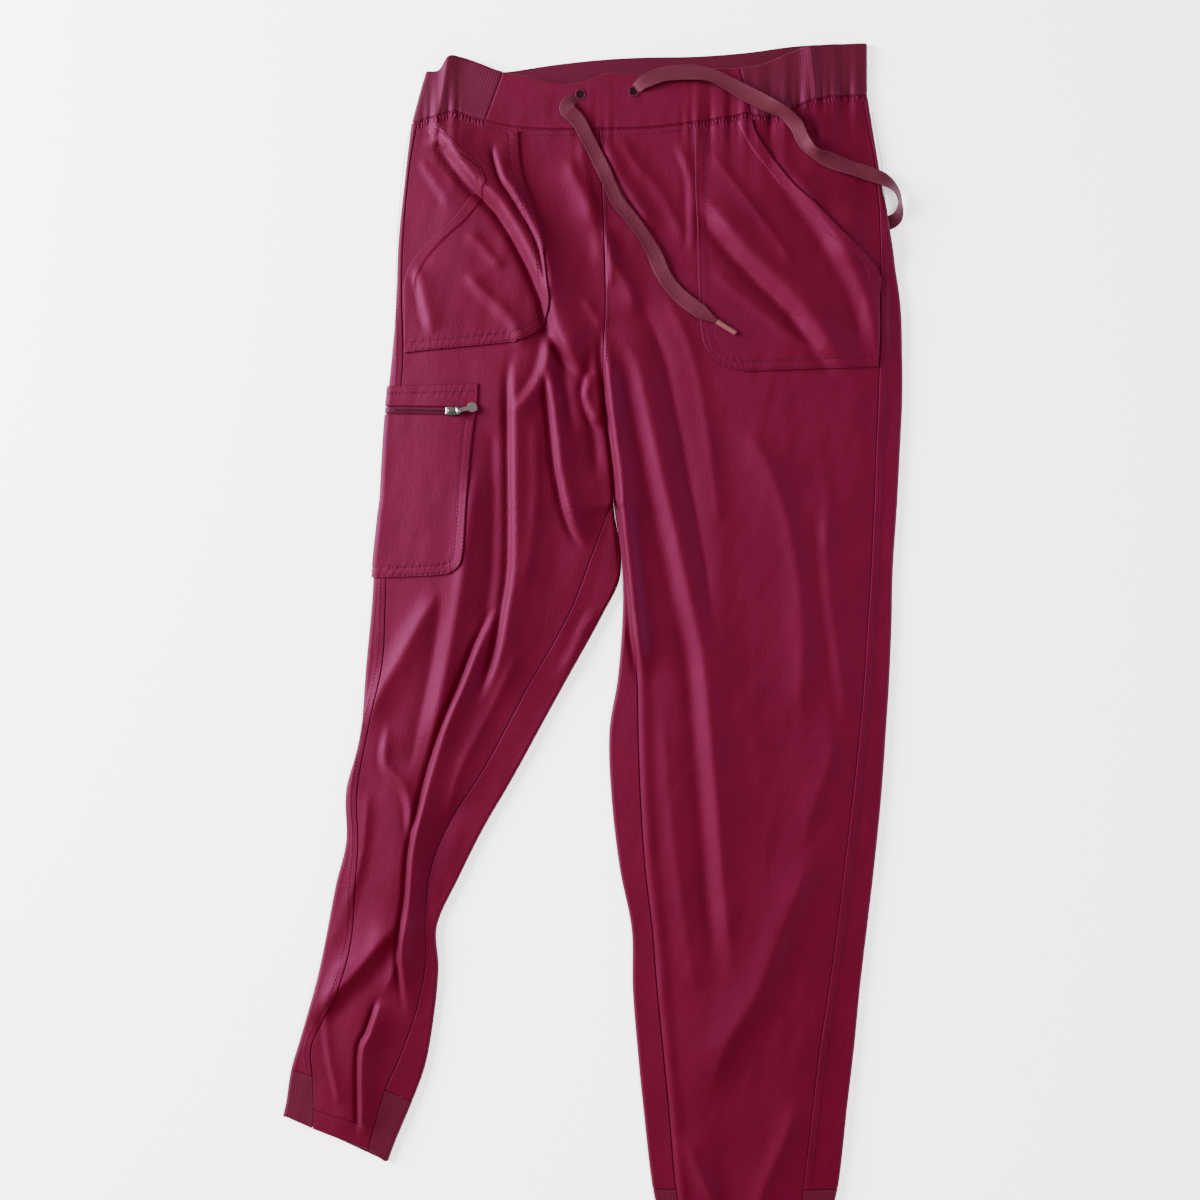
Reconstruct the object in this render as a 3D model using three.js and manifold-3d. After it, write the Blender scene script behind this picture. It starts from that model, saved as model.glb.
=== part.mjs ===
// Scrub trousers of the jogger cut, laid flat on a table with the front up.
// Millimetres, +X to the wearer's left, +Y to the waist, +Z up, the table at z = 0.
import * as THREE from 'three';
import { mergeVertices } from 'three/addons/utils/BufferGeometryUtils.js';
import Module from 'manifold-3d';

const wasm = await Module();
wasm.setup();

// Walls and clearances
const CLOTH = 1.2;
const RIB_KNIT = 2.0;
const SEAM = 0.3;
const PATCH_GAP = 0.3;
const WAIST_GAP = 0.55;
const INNER_SEAM_GAP = 0.25;

// How the upper layer lies on the lower one, heights of the middle of the cloth
const EDGE_HEIGHT = 5.2;
const CROWN = 2.4;
const CROWN_REACH = 50;
const LOWEST = 4.3;
const OUTER_ROLL = 3.2;
const INNER_ROLL = 2.5;
const LIP_ROLL = 1.2;
const LIP_HEIGHT = 2.7;
const LIP_REACH = 1.5;

// Rows of each leg's table where a piece starts or ends
const CROTCH_ROW = 7;
const WRAPPED_ROW = 8;
const FORK_ROW = 9;
const BACK_END = 19;
const FRONT_END = 20;
const HEM = 21;

// Grid steps
const HIP_STEPS = 2;
const LEG_STEPS = 2;
const STRIP_STEPS = 2;
const INNER_STRIP_STEPS = 1;
const ROLL_STEPS = 4;
const INNER_ROLL_STEPS = 3;
const LEFT_FRONT_STEPS = 18;
const RIGHT_FRONT_STEPS = 16;
const WAIST_STEPS = 5;
const ROUTE_STEPS = 5;
const OUTLINE_STEPS = 3;
const FLAT_TOLERANCE = 1e-6;

// Colours of the real materials
const WINE = 0x6f1c2b;
const RIB_WINE = 0x642537;
const TAPE_WINE = 0x7a3f4d;
const ZIP_WINE = 0x4a1a2a;
const AGLET_PINK = 0x9a6a66;
const NICKEL = 0xc9c5c2;

// One row for each place down a leg: the folded outer edge, the side seam, the front panel's
// inner seam (centre front, then inseam) and the back panel's inner edge (centre back, then
// the folded inner edge of the leg).
const LEG_COLUMNS = ['edgeX', 'edgeY', 'sideX', 'sideY', 'frontX', 'frontY', 'innerX', 'innerY'];
const RIGHT_ROWS = [
  [-154, 446, -149, 446, 6, 439, 10, 439],
  [-159, 403, -156, 403, 8, 394, 11, 394],
  [-165, 345, -161, 344, 10, 340, 13, 340],
  [-167, 294, -162, 294, 11, 291, 14, 291],
  [-171, 247, -161, 248, 9, 246, 15, 246],
  [-175, 207, -164, 207, 10, 206, 16, 206],
  [-178, 165, -169, 165, 14, 163, 17, 163],
  [-180, 126, -171, 126, 17, 126, 17.5, 126],
  [-182, 112, -173, 112, 11, 108, 18.5, 110],
  [-186, 73, -175, 71, -1, 76, 23.5, 63],
  [-188, 37, -176, 36, -20, 27, 8, 25],
  [-193, -16, -179, -19, -57, -39, -30, -44],
  [-198, -76, -192, -77, -92, -104, -67, -112],
  [-210, -122, -200, -125, -119, -146, -92, -155],
  [-210, -165, -199, -169, -137, -187, -113, -197],
  [-219, -203, -202, -209, -142, -229, -132, -240],
  [-227, -246, -205, -252, -142, -270, -131, -277],
  [-236, -288, -216, -293, -150, -311, -135, -318],
  [-249, -333, -238, -337, -164, -350, -142, -357],
  [-257, -360, -238, -366, -176, -377, -153, -388],
  [-261, -386, -237, -394, -186, -410, -167, -422],
  [-264, -399, -238, -410, -190, -428, -174, -441],
];
const LEFT_ROWS = [
  [234, 468, 230, 466, 6, 439, 10, 439],
  [244, 406, 241, 405, 8, 394, 11, 394],
  [254, 345, 244, 345, 10, 340, 13, 340],
  [262, 294, 244, 294, 11, 291, 14, 291],
  [264, 247, 244, 246, 9, 246, 15, 246],
  [264, 207, 243, 206, 10, 206, 16, 206],
  [262, 165, 241, 163, 14, 163, 17, 163],
  [260, 126, 240, 126, 17, 126, 17.5, 126],
  [259, 110, 239, 110, 24, 110, 19.5, 110],
  [256, 63, 237, 63, 29.5, 62, 25.5, 62],
  [255, 18, 234, 18, 34, 18, 25, 18],
  [253, -29, 231, -29, 38, -29, 21, -29],
  [250, -76, 227, -76, 39, -76, 14, -74],
  [246, -131, 221, -131, 41, -131, 16, -131],
  [240, -190, 214, -190, 45, -190, 23, -190],
  [234, -241, 208, -241, 51, -241, 33, -241],
  [228, -292, 201, -292, 55, -292, 34, -292],
  [223, -343, 193, -343, 60, -343, 38, -343],
  [217, -394, 187, -394, 65, -394, 43, -394],
  [209, -462, 179, -462, 71, -462, 51, -462],
  [197, -500, 173, -500, 79, -500, 61, -500],
  [193, -513, 170, -513, 83, -513, 64, -513],
];

// Main folds, each a ridge (or a trough where rise is under 0) along a route of [x, y] places.
// wide is the half width, lean makes the side to the left of the route steeper, and fade is
// how far from each end the fold reaches its full rise.
const FOLDS = [
  { rise: 8, wide: 13, lean: 0.2, fade: 40,
    route: [[-138, 454], [-119, 425], [-102, 401], [-74, 372], [-51, 333], [-36, 298], [-26, 262], [-2, 226]] },
  { rise: -3.5, wide: 7, lean: 0, fade: 30, route: [[-34, 289], [-26, 253], [-21, 210], [-15, 173]] },
  { rise: 5, wide: 6, lean: 0, fade: 12, route: [[-2, 234], [-5, 216], [-2, 201], [6, 184]] },
  { rise: 5, wide: 9, lean: 0, fade: 25, route: [[-34, 280], [-39, 241], [-52, 214], [-72, 194]] },
  { rise: 6, wide: 10, lean: 0.2, fade: 35, route: [[-38, 243], [-31, 186], [-27, 150], [-17, 107], [-2, 80]] },
  { rise: 6, wide: 12, lean: -0.2, fade: 60,
    route: [[-59, 254], [-69, 230], [-68, 170], [-67, 73], [-74, 26], [-82, -15], [-98, -56]] },
  { rise: 5, wide: 12, lean: 0, fade: 50, route: [[-97, 162], [-104, 111], [-111, 52], [-126, -30], [-142, -100]] },
  { rise: 4.5, wide: 12, lean: 0, fade: 40, route: [[-119, 58], [-142, 27], [-164, -12], [-181, -42], [-193, -80]] },
  { rise: 5, wide: 9, lean: 0.2, fade: 60,
    route: [[-74, 42], [-91, 8], [-118, -53], [-141, -125], [-154, -200], [-161, -260], [-155, -316]] },
  { rise: 3, wide: 7, lean: 0, fade: 30, route: [[-176, -70], [-178, -122], [-172, -180]] },
  { rise: 6, wide: 13, lean: 0.2, fade: 35, route: [[-158, -226], [-181, -252], [-213, -289], [-244, -328]] },
  { rise: 4, wide: 7, lean: 0, fade: 20, route: [[-168, -301], [-186, -332], [-196, -368], [-197, -418]] },
  { rise: -2.5, wide: 6, lean: 0, fade: 30, route: [[-104, -122], [-131, -170], [-141, -212], [-134, -244]] },
  { rise: 9, wide: 10, lean: -0.5, fade: 45,
    route: [[15, 272], [15, 234], [19, 196], [24, 150], [28, 110], [34, 62], [38, 18], [44, -34]] },
  { rise: -3, wide: 7, lean: 0, fade: 30, route: [[-3, 262], [-4, 222], [2, 180], [6, 136]] },
  { rise: 4, wide: 9, lean: 0, fade: 20, route: [[10, 434], [19, 406], [36, 377], [55, 350]] },
  { rise: 3.5, wide: 9, lean: 0, fade: 20, route: [[-22, 420], [-14, 396], [-4, 374], [0, 350]] },
  { rise: 3, wide: 8, lean: 0, fade: 18, route: [[8, 355], [16, 327], [28, 308], [40, 279]] },
  { rise: 8, wide: 14, lean: 0.2, fade: 70,
    route: [[13, 275], [36, 245], [48, 196], [58, 151], [72, 89], [86, 22], [96, -56], [104, -150], [116, -290]] },
  { rise: -3, wide: 9, lean: 0, fade: 60, route: [[34, 311], [52, 267], [69, 211], [83, 128], [102, 5]] },
  { rise: 4, wide: 16, lean: 0, fade: 45, route: [[91, 388], [130, 337], [176, 290], [222, 226]] },
  { rise: 3, wide: 12, lean: 0, fade: 40, route: [[151, 422], [202, 354], [232, 294], [244, 236]] },
  { rise: 3.5, wide: 13, lean: 0, fade: 50, route: [[120, 196], [150, 150], [170, 84], [178, 10], [176, -70]] },
  { rise: 6, wide: 20, lean: 0, fade: 60, route: [[178, -165], [156, -250], [121, -320], [92, -392]] },
  { rise: 3, wide: 9, lean: 0, fade: 25, route: [[74, -411], [91, -445], [110, -488]] },
  { rise: 3, wide: 10, lean: 0, fade: 30, route: [[172, -400], [148, -462], [136, -505]] },
  { rise: 4, wide: 7, lean: 0, fade: 1, route: [[-121, 508], [-125, 481], [-131, 445], [-134, 425]] },
  { rise: 3, wide: 8, lean: 0, fade: 1, route: [[184, 514], [187, 486], [192, 455], [196, 430]] },
];

// Gathers under the waist seam, each stretch of waves from one X to another
const GATHER_REACH = 22;
const GATHERS = [
  { from: -140, to: -112, pitch: 19, rise: 1.3 },
  { from: 84, to: 136, pitch: 20, rise: 1.3 },
  { from: 136, to: 234, pitch: 21, rise: 1.6 },
];

// Lines of the waist from the wearer's right to left: the seam under the waistband on the
// front, the top edge of the front half, and the top edge of the back half
const WAIST_SEAM = [
  [-154, 446], [-148, 445], [-140, 448.5], [-132, 449], [-118, 453], [-100, 448], [-68, 441], [-49, 439], [6, 439],
  [49, 440], [90, 445], [122, 450], [133, 452], [144, 449], [158, 450.5], [174, 458], [190, 463.5], [214, 467.5], [234, 468],
];
const TOP_FRONT = [
  [-142, 489], [-130, 490], [-122, 500], [-111, 500], [-96, 495], [-81, 489], [-53, 483], [-22, 477],
  [-2, 481], [11, 486], [40, 485], [74, 490], [125, 491], [144, 494], [159, 500], [176, 507], [192, 510], [234, 513],
];
const TOP_BACK = [
  [-142, 489], [-81, 489], [-31, 496], [6, 500], [40, 502], [91, 503], [130, 506], [177, 512], [234, 513.4],
];
const BACK_SEAM = [[-154, 446], [10, 439], [234, 468]];

// Waistband: the rib knit runs from the first end round the back to the second end, and the
// self-fabric band fills the centre front
const BAND_ENDS = { rightLow: -91, rightTop: -76, leftLow: 135, leftTop: 125 };
const RIB_EDGES = { rightLow: -154, rightTop: -142, leftLow: 234, leftTop: 234 };
const RIB_ROLL = 3;
const RIB_STRIP_STEPS = 8;
const RIB_BACK_STEPS = 10;
const BAND_STEPS = 14;

// Pockets: rows from the waist down, from the outer edge of the patch to its inner edge
const PATCH_COLUMNS = ['outX', 'outY', 'inX', 'inY'];
const POCKET_LEFT = [
  [135, 447, 87, 439],
  [141, 431, 87, 424],
  [152, 415, 87, 408],
  [169, 394, 87, 388],
  [189, 374, 88, 366],
  [215, 346, 89, 340],
  [242, 318, 90, 310],
  [242.5, 290, 91, 282],
  [242.5, 262, 94, 258],
  [242.5, 248, 101, 246],
  [242.5, 240, 113, 237],
  [242.5, 237, 129, 233],
];
const POCKET_RIGHT = [
  [-140, 438, -63, 437],
  [-131, 429, -63, 429],
  [-119, 415, -62, 413],
  [-105, 402, -60, 398],
  [-99, 390, -56, 386],
  [-107, 376, -52, 374],
  [-119, 361, -47, 360],
  [-139, 343, -42, 341],
  [-154, 325, -39, 323],
  [-160, 307, -37, 305],
  [-160, 284, -36, 286],
  [-160, 262, -46, 268],
  [-160, 249, -66, 258],
];
const CARGO_OUTER = -200;
const CARGO_TOP = [[CARGO_OUTER, 221], [-97, 223], [-98, 202], [CARGO_OUTER, 203.5]];
const CARGO_BODY = [
  [CARGO_OUTER, 197.5], [-111, 195.8], [-110.7, 201.9], [-98.3, 201.7], [-101, 186], [-104, 158],
  [-106, 124], [-108, 92], [-109.5, 76], [-113, 67], [-121, 62], [-134, 60], [-150, 59], [CARGO_OUTER, 58],
];
const ZIP_WINDOW = [[CARGO_OUTER, 203.2], [-111.3, 201.7], [-111.3, 196.1], [CARGO_OUTER, 197.8]];
const ZIP_TAPE = 0.9;

// Zip slider and its pull tab, which turns on the slider's bail
const SLIDER = { x: -118, y: 199, z: 10.1, long: 13, wide: 7.5, tall: 2.4, turn: -2 };
const BAIL = { x: -113.5, lug: 1.1, span: 4.4, radius: 0.6, above: 2.4, turn: 15 };
const PULL = { long: 12.5, neck: 3.4, end: 4.2, thick: 1.2, eye: 1.0, eyeOuter: 2.0, dip: 13 };
const ROUND_SIDES = 16;
const PIN_SIDES = 8;

// The flat drawstring: [x, y, z, turn], turn in degrees about its own run
const TAPE = { wide: 13, thick: 1.4, corner: 0.45, taper: 0.92, end: 0.34 };
const TAPE_SPLIT = 24;
const DRAWSTRING_RIGHT = [
  [-11, 467, 10.1, 0],
  [-20, 461, 12.2, 0],
  [-21, 453, 12.6, 0],
  [-12, 444, 11.6, 0],
  [0, 422, 10.8, 0],
  [11, 399, 12.8, 0],
  [21, 377, 13, 0],
  [36, 358, 12.6, 0],
  [50, 337, 11, 0],
  [60, 315, 9.9, 0],
  [73, 298, 9.9, 0],
  [89, 285, 11.4, 0],
  [105, 275, 11.5, 0],
];
const DRAWSTRING_LEFT = [
  [36, 472, 10.1, 0],
  [47, 479, 11.6, 0],
  [63, 484, 12, 0],
  [85, 485, 12.4, 0],
  [104, 481, 13, 0],
  [128, 468, 13.6, 5],
  [145, 459, 14.6, 25],
  [160, 451, 16.6, 55],
  [172, 440, 15, 35],
  [178, 428, 14, 30],
  [187, 417, 16, 60],
  [201, 411, 12.4, 20],
  [216, 406, 10.2, 0],
  [232, 401, 9.8, 0],
  [247, 395, 10.4, -15],
  [257, 387, 8.8, -45],
  [261, 376, 7, -60],
  [259, 365, 4.4, -30],
  [250, 359, 1.7, 0],
  [240, 355, 1.7, 0],
];
const AGLET = { long: 19, wide: 4.8, thick: 3.2, tip: 0.44 };

// The cloth of the left hip lies over the hidden end of the drawstring
const LIFT = { rise: 4.4, x: 262, y: 354, full: 38, fade: 32, fullY: 13, fadeY: 24 };
const BACK_STEPS_RIGHT = [1];
const BACK_STEPS_LEFT = [0.06, 0.14, 0.24, 1];

const smooth = (t) => {
  const k = Math.min(Math.max(t, 0), 1);
  return k * k * (3 - 2 * k);
};
const mix = (a, b, t) => a + (b - a) * t;
const radians = (degrees) => (degrees * Math.PI) / 180;

// Smooth curve through a column of values, straightened at both ends and at a corner row
function spline(values, t, corner = -1) {
  const i = Math.min(Math.floor(t), values.length - 2);
  const f = t - i;
  const b = values[i];
  const c = values[i + 1];
  const a = i === 0 || i === corner ? 2 * b - c : values[i - 1];
  const d = i + 2 >= values.length || i + 1 === corner ? 2 * c - b : values[i + 2];
  return b + 0.5 * f * (c - a + f * (2 * a - 5 * b + 4 * c - d + f * (3 * (b - c) + d - a)));
}

function rowAt(rows, columns, t, corner) {
  const row = {};
  columns.forEach((column, k) => {
    row[column] = spline(rows.map((values) => values[k]), t, corner);
  });
  return row;
}

// Straight-line reading of a line of [x, y] places at one x
function lineAt(places, x) {
  let k = 1;
  while (k < places.length - 1 && places[k][0] < x) k += 1;
  const [x0, y0] = places[k - 1];
  const [x1, y1] = places[k];
  return mix(y0, y1, Math.min(Math.max((x - x0) / (x1 - x0), 0), 1));
}

// Places along a smooth curve through a fold's route
function routePlaces(route) {
  const count = (route.length - 1) * ROUTE_STEPS;
  return Array.from({ length: count + 1 }, (_, k) => {
    const t = k / ROUTE_STEPS;
    return [spline(route.map((p) => p[0]), t), spline(route.map((p) => p[1]), t)];
  });
}

const foldLines = FOLDS.map((fold) => ({ ...fold, line: routePlaces(fold.route) }));

// Height of one fold: a bell across the route, lower towards both ends
function foldHeight({ rise, wide, lean, fade, line }, x, y) {
  let nearest = Infinity;
  let side = 0;
  let at = 0;
  let run = 0;
  for (let k = 1; k < line.length; k += 1) {
    const [ax, ay] = line[k - 1];
    const dx = line[k][0] - ax;
    const dy = line[k][1] - ay;
    const long = Math.hypot(dx, dy);
    const t = Math.min(Math.max(((x - ax) * dx + (y - ay) * dy) / (long * long), 0), 1);
    const away = Math.hypot(x - ax - t * dx, y - ay - t * dy);
    if (away < nearest) {
      nearest = away;
      side = Math.sign(dx * (y - ay) - dy * (x - ax));
      at = run + t * long;
    }
    run += long;
  }
  const half = wide * (1 - lean * side);
  const ends = smooth(at / fade) * smooth((run - at) / fade);
  return rise * ends * Math.exp(-((nearest / half) ** 2));
}

function gatherHeight(x, y) {
  const below = lineAt(WAIST_SEAM, x) - y;
  const drop = Math.exp(-Math.abs(below) / GATHER_REACH);
  return GATHERS.reduce((sum, { from, to, pitch, rise }) => {
    const inside = smooth((x - from) / 6) * smooth((to - x) / 6);
    return sum + rise * drop * inside * Math.sin((2 * Math.PI * (x - from)) / pitch);
  }, 0);
}

function liftAt(x, y) {
  const across = 1 - smooth((Math.abs(LIFT.x - x) - LIFT.full) / LIFT.fade);
  const along = 1 - smooth((Math.abs(LIFT.y - y) - LIFT.fullY) / LIFT.fadeY);
  return LIFT.rise * across * along;
}

// Middle of the upper layer: low at the folded edges, crowned between them, with the folds
function topHeight(x, y, fromOuter, fromInner) {
  const crown = CROWN * smooth(fromOuter / CROWN_REACH) * smooth(fromInner / CROWN_REACH);
  const folds = foldLines.reduce((sum, fold) => sum + foldHeight(fold, x, y), 0);
  const raised = EDGE_HEIGHT + crown + folds + gatherHeight(x, y) - LOWEST;
  return LOWEST + 0.5 * (raised + Math.sqrt(raised * raised + 1)) + liftAt(x, y);
}

// A leg gives, for any row t, its columns, and the height of the upper layer across that row
function makeLeg(rows, inward, backSteps) {
  const wrapAt = (t) => smooth((t - CROTCH_ROW) / (WRAPPED_ROW - CROTCH_ROW));
  const row = (t) => rowAt(rows, LEG_COLUMNS, t, CROTCH_ROW);
  const yAcross = (r, x) => {
    const stops = [[r.edgeX, r.edgeY], [r.sideX, r.sideY], [r.frontX, r.frontY], [r.innerX, r.innerY]];
    return lineAt(inward > 0 ? stops : stops.reverse(), x);
  };
  const top = (t, r, x) => {
    const seamDrop = 1 - smooth(t);
    const y = yAcross(r, x) + seamDrop * (lineAt(WAIST_SEAM, x) - WAIST_GAP - yAcross(row(0), x));
    const fromInner = Math.abs(x - r.innerX) + (1 - wrapAt(t)) * CROWN_REACH;
    return new THREE.Vector3(x, y, topHeight(x, y, Math.abs(x - r.edgeX), fromInner));
  };
  return { row, wrapAt, yAcross, top, inward, backSteps };
}

const rightLeg = makeLeg(RIGHT_ROWS, 1, BACK_STEPS_RIGHT);
const leftLeg = makeLeg(LEFT_ROWS, -1, BACK_STEPS_LEFT);

// Rows from one table row to another, closer together in the hips
function rowsBetween(from, to) {
  const rows = [];
  const shift = SEAM / 2 / CROWN_REACH;
  const first = from === 0 ? 0 : from + shift;
  const last = to === HEM ? HEM : to - shift;
  for (let t = first; t < last - 0.01;) {
    rows.push(t);
    const step = t < FORK_ROW - 0.01 ? 1 / HIP_STEPS : 1 / LEG_STEPS;
    t = Math.round((Math.floor((t + 0.001) / step) + 1) * step * 6) / 6;
  }
  rows.push(last);
  return rows;
}

// The front panel or its cuff band: a row from the side seam to the inner seam
function frontRow(leg, t, steps) {
  const r = leg.row(t);
  const from = r.sideX + (leg.inward * SEAM) / 2;
  const to = r.frontX - leg.inward * INNER_SEAM_GAP;
  return Array.from({ length: steps + 1 }, (_, k) => leg.top(t, r, mix(from, to, k / steps)));
}

// Half an oval round a folded edge from one place on its rim to the other, without the first
function rollPlaces(x, reach, from, to, steps = ROLL_STEPS) {
  return Array.from({ length: steps }, (_, k) => {
    const angle = (Math.PI * (k + 1)) / steps;
    const turned = (1 - Math.cos(angle)) / 2;
    return new THREE.Vector3(x + reach * Math.sin(angle), mix(from.y, to.y, turned), mix(from.z, to.z, turned));
  });
}

// The back panel or its cuff: from the side seam on top, round the outer edge, flat under the
// leg and round the inner edge up to the inseam. Above the crotch its inner edge is only the
// turned-up seam allowance of the centre back.
function backRow(leg, t) {
  const r = leg.row(t);
  const { inward } = leg;
  const wrap = leg.wrapAt(t);
  const outerRoll = Math.min(OUTER_ROLL, 0.5 * Math.abs(r.edgeX - r.sideX));
  const innerRoll = mix(LIP_ROLL, Math.min(INNER_ROLL, 0.35 * Math.abs(r.frontX - r.innerX)), wrap);
  const outer = r.edgeX + inward * (CLOTH / 2 + outerRoll);
  const inner = r.innerX - inward * ((CLOTH + SEAM) / 2 + innerRoll);
  const seam = r.sideX - (inward * SEAM) / 2;
  const end = mix(inner - inward * LIP_REACH, r.frontX + (inward * SEAM) / 2, wrap);
  const underY = (x) => mix(r.edgeY, r.innerY, (x - r.edgeX) / (r.innerX - r.edgeX));
  const under = (x) => new THREE.Vector3(x, underY(x), CLOTH / 2 + liftAt(x, underY(x)));
  const places = [];
  for (let k = 0; k <= STRIP_STEPS; k += 1) {
    places.push(leg.top(t, r, mix(seam, outer, k / STRIP_STEPS)));
  }
  places.push(...rollPlaces(outer, -inward * outerRoll, places.at(-1), under(outer)));
  leg.backSteps.forEach((step) => places.push(under(mix(outer, inner, step))));
  const lip = (x) => {
    const onTop = leg.top(t, r, x);
    return new THREE.Vector3(x, mix(underY(x), onTop.y, wrap), mix(LIP_HEIGHT, onTop.z, wrap));
  };
  places.push(...rollPlaces(inner, inward * innerRoll, under(inner), lip(inner), INNER_ROLL_STEPS));
  for (let k = 1; k <= INNER_STRIP_STEPS; k += 1) {
    places.push(lip(mix(inner, end, k / INNER_STRIP_STEPS)));
  }
  return places;
}

// Upper side of a leg from the silhouette of its outer edge to its inner seam, in one grid
function coverRow(leg, t, steps) {
  const back = backRow(leg, t);
  const overEdge = back.slice(0, STRIP_STEPS + 1 + ROLL_STEPS / 2).reverse();
  return [...overEdge, ...frontRow(leg, t, steps)];
}

// The direction in which each place of a grid faces. The grid's column `upper` lies on top, so
// it faces up, and a place that rests on the table at the height `rest` faces straight down.
function gridNormals(grid, upper, rest) {
  const rows = grid.length;
  const columns = grid[0].length;
  const normals = grid.map((row, i) => row.map((_, j) => {
    const across = grid[i][Math.min(j + 1, columns - 1)].clone().sub(grid[i][Math.max(j - 1, 0)]);
    const along = grid[Math.min(i + 1, rows - 1)][j].clone().sub(grid[Math.max(i - 1, 0)][j]);
    return across.cross(along).normalize();
  }));
  const sign = Math.sign(normals[Math.floor(rows / 2)][upper].z);
  const down = new THREE.Vector3(0, 0, -1);
  return normals.map((row, i) => row.map((normal, j) => (
    Math.abs(grid[i][j].z - rest) < FLAT_TOLERANCE ? down : normal.multiplyScalar(sign)
  )));
}

// A closed wall between two layers of a grid, moved out by the distances low and high
function wall(grid, low, high, upper = 0) {
  const rows = grid.length;
  const columns = grid[0].length;
  const normals = gridNormals(grid, upper, high);
  const positions = [];
  [high, low].forEach((offset) => grid.forEach((row, i) => row.forEach((place, j) => {
    positions.push(...place.clone().addScaledVector(normals[i][j], offset).toArray());
  })));
  const at = (layer, i, j) => (layer * rows + i) * columns + j;
  const quads = [];
  for (let i = 0; i + 1 < rows; i += 1) {
    for (let j = 0; j + 1 < columns; j += 1) {
      quads.push([at(0, i, j), at(0, i, j + 1), at(0, i + 1, j + 1), at(0, i + 1, j)]);
      quads.push([at(1, i, j), at(1, i + 1, j), at(1, i + 1, j + 1), at(1, i, j + 1)]);
    }
    quads.push([at(0, i + 1, 0), at(1, i + 1, 0), at(1, i, 0), at(0, i, 0)]);
    const last = columns - 1;
    quads.push([at(0, i, last), at(1, i, last), at(1, i + 1, last), at(0, i + 1, last)]);
  }
  for (let j = 0; j + 1 < columns; j += 1) {
    quads.push([at(0, 0, j), at(1, 0, j), at(1, 0, j + 1), at(0, 0, j + 1)]);
    const last = rows - 1;
    quads.push([at(0, last, j + 1), at(1, last, j + 1), at(1, last, j), at(0, last, j)]);
  }
  return closedGeometry(positions, quads);
}

// Puts quads into a geometry and turns them so that they face out
function closedGeometry(positions, quads) {
  const triangles = quads.flatMap(([a, b, c, d]) => [a, b, c, a, c, d]);
  const corner = (k) => new THREE.Vector3().fromArray(positions, triangles[k] * 3);
  let volume = 0;
  for (let k = 0; k < triangles.length; k += 3) {
    volume += corner(k).dot(corner(k + 1).cross(corner(k + 2)));
  }
  const geometry = new THREE.BufferGeometry();
  geometry.setAttribute('position', new THREE.Float32BufferAttribute(positions, 3));
  geometry.setIndex(volume > 0 ? triangles : triangles.reverse());
  return geometry;
}

function toSolid(geometry) {
  geometry.deleteAttribute('normal');
  geometry.deleteAttribute('uv');
  const merged = mergeVertices(geometry, 1e-4);
  return new wasm.Manifold(new wasm.Mesh({
    numProp: 3,
    vertProperties: new Float32Array(merged.attributes.position.array),
    triVerts: new Uint32Array(merged.index.array),
  }));
}

function fromSolid(solid) {
  const mesh = solid.getMesh();
  const geometry = new THREE.BufferGeometry();
  geometry.setAttribute('position', new THREE.BufferAttribute(mesh.vertProperties, 3));
  geometry.setIndex(new THREE.BufferAttribute(mesh.triVerts, 1));
  return geometry;
}

// An upright block of the given outline, from z = 0 up to well above the cloth
function block(outline, tall = 60) {
  const shape = new THREE.Shape(outline.map(([x, y]) => new THREE.Vector2(x, y)));
  return new THREE.ExtrudeGeometry(shape, { depth: tall, bevelEnabled: false });
}

const cutOut = (shell, outline) => fromSolid(toSolid(shell).intersect(toSolid(block(outline))));

// The outline of a patch: down its outer edge and back up its inner edge
function patchOutline(rows) {
  const count = (rows.length - 1) * OUTLINE_STEPS;
  const down = Array.from({ length: count + 1 }, (_, k) => rowAt(rows, PATCH_COLUMNS, k / OUTLINE_STEPS));
  return [...down.map((r) => [r.outX, r.outY]), ...down.reverse().map((r) => [r.inX, r.inY])];
}

const group = new THREE.Group();

function add(name, geometry, colour, roughness, metalness = 0) {
  const material = new THREE.MeshStandardMaterial({ color: colour, roughness, metalness });
  const mesh = new THREE.Mesh(geometry, material);
  mesh.name = name;
  group.add(mesh);
  return mesh;
}

// Panels and cuffs of one leg
function addLeg(side, leg, steps) {
  const panelRows = rowsBetween(0, BACK_END);
  const cuffRows = [BACK_END + SEAM / CROWN_REACH, FRONT_END, HEM];
  const frontRows = [...panelRows.slice(0, -1), BACK_END, FRONT_END - SEAM / 20];
  const bandRows = [FRONT_END + SEAM / 20, HEM];
  const half = CLOTH / 2;
  add(`back_${side}`, wall(panelRows.map((t) => backRow(leg, t)), -half, half), WINE, 0.62);
  add(`cuff_back_${side}`, wall(cuffRows.map((t) => backRow(leg, t)), -half, half), RIB_WINE, 0.8);
  add(`front_${side}`, wall(frontRows.map((t) => frontRow(leg, t, steps)), -half, half), WINE, 0.62);
  add(`cuff_front_${side}`, wall(bandRows.map((t) => frontRow(leg, t, steps)), -half, half), WINE, 0.62);
}

addLeg('right', rightLeg, RIGHT_FRONT_STEPS);
addLeg('left', leftLeg, LEFT_FRONT_STEPS);

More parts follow.
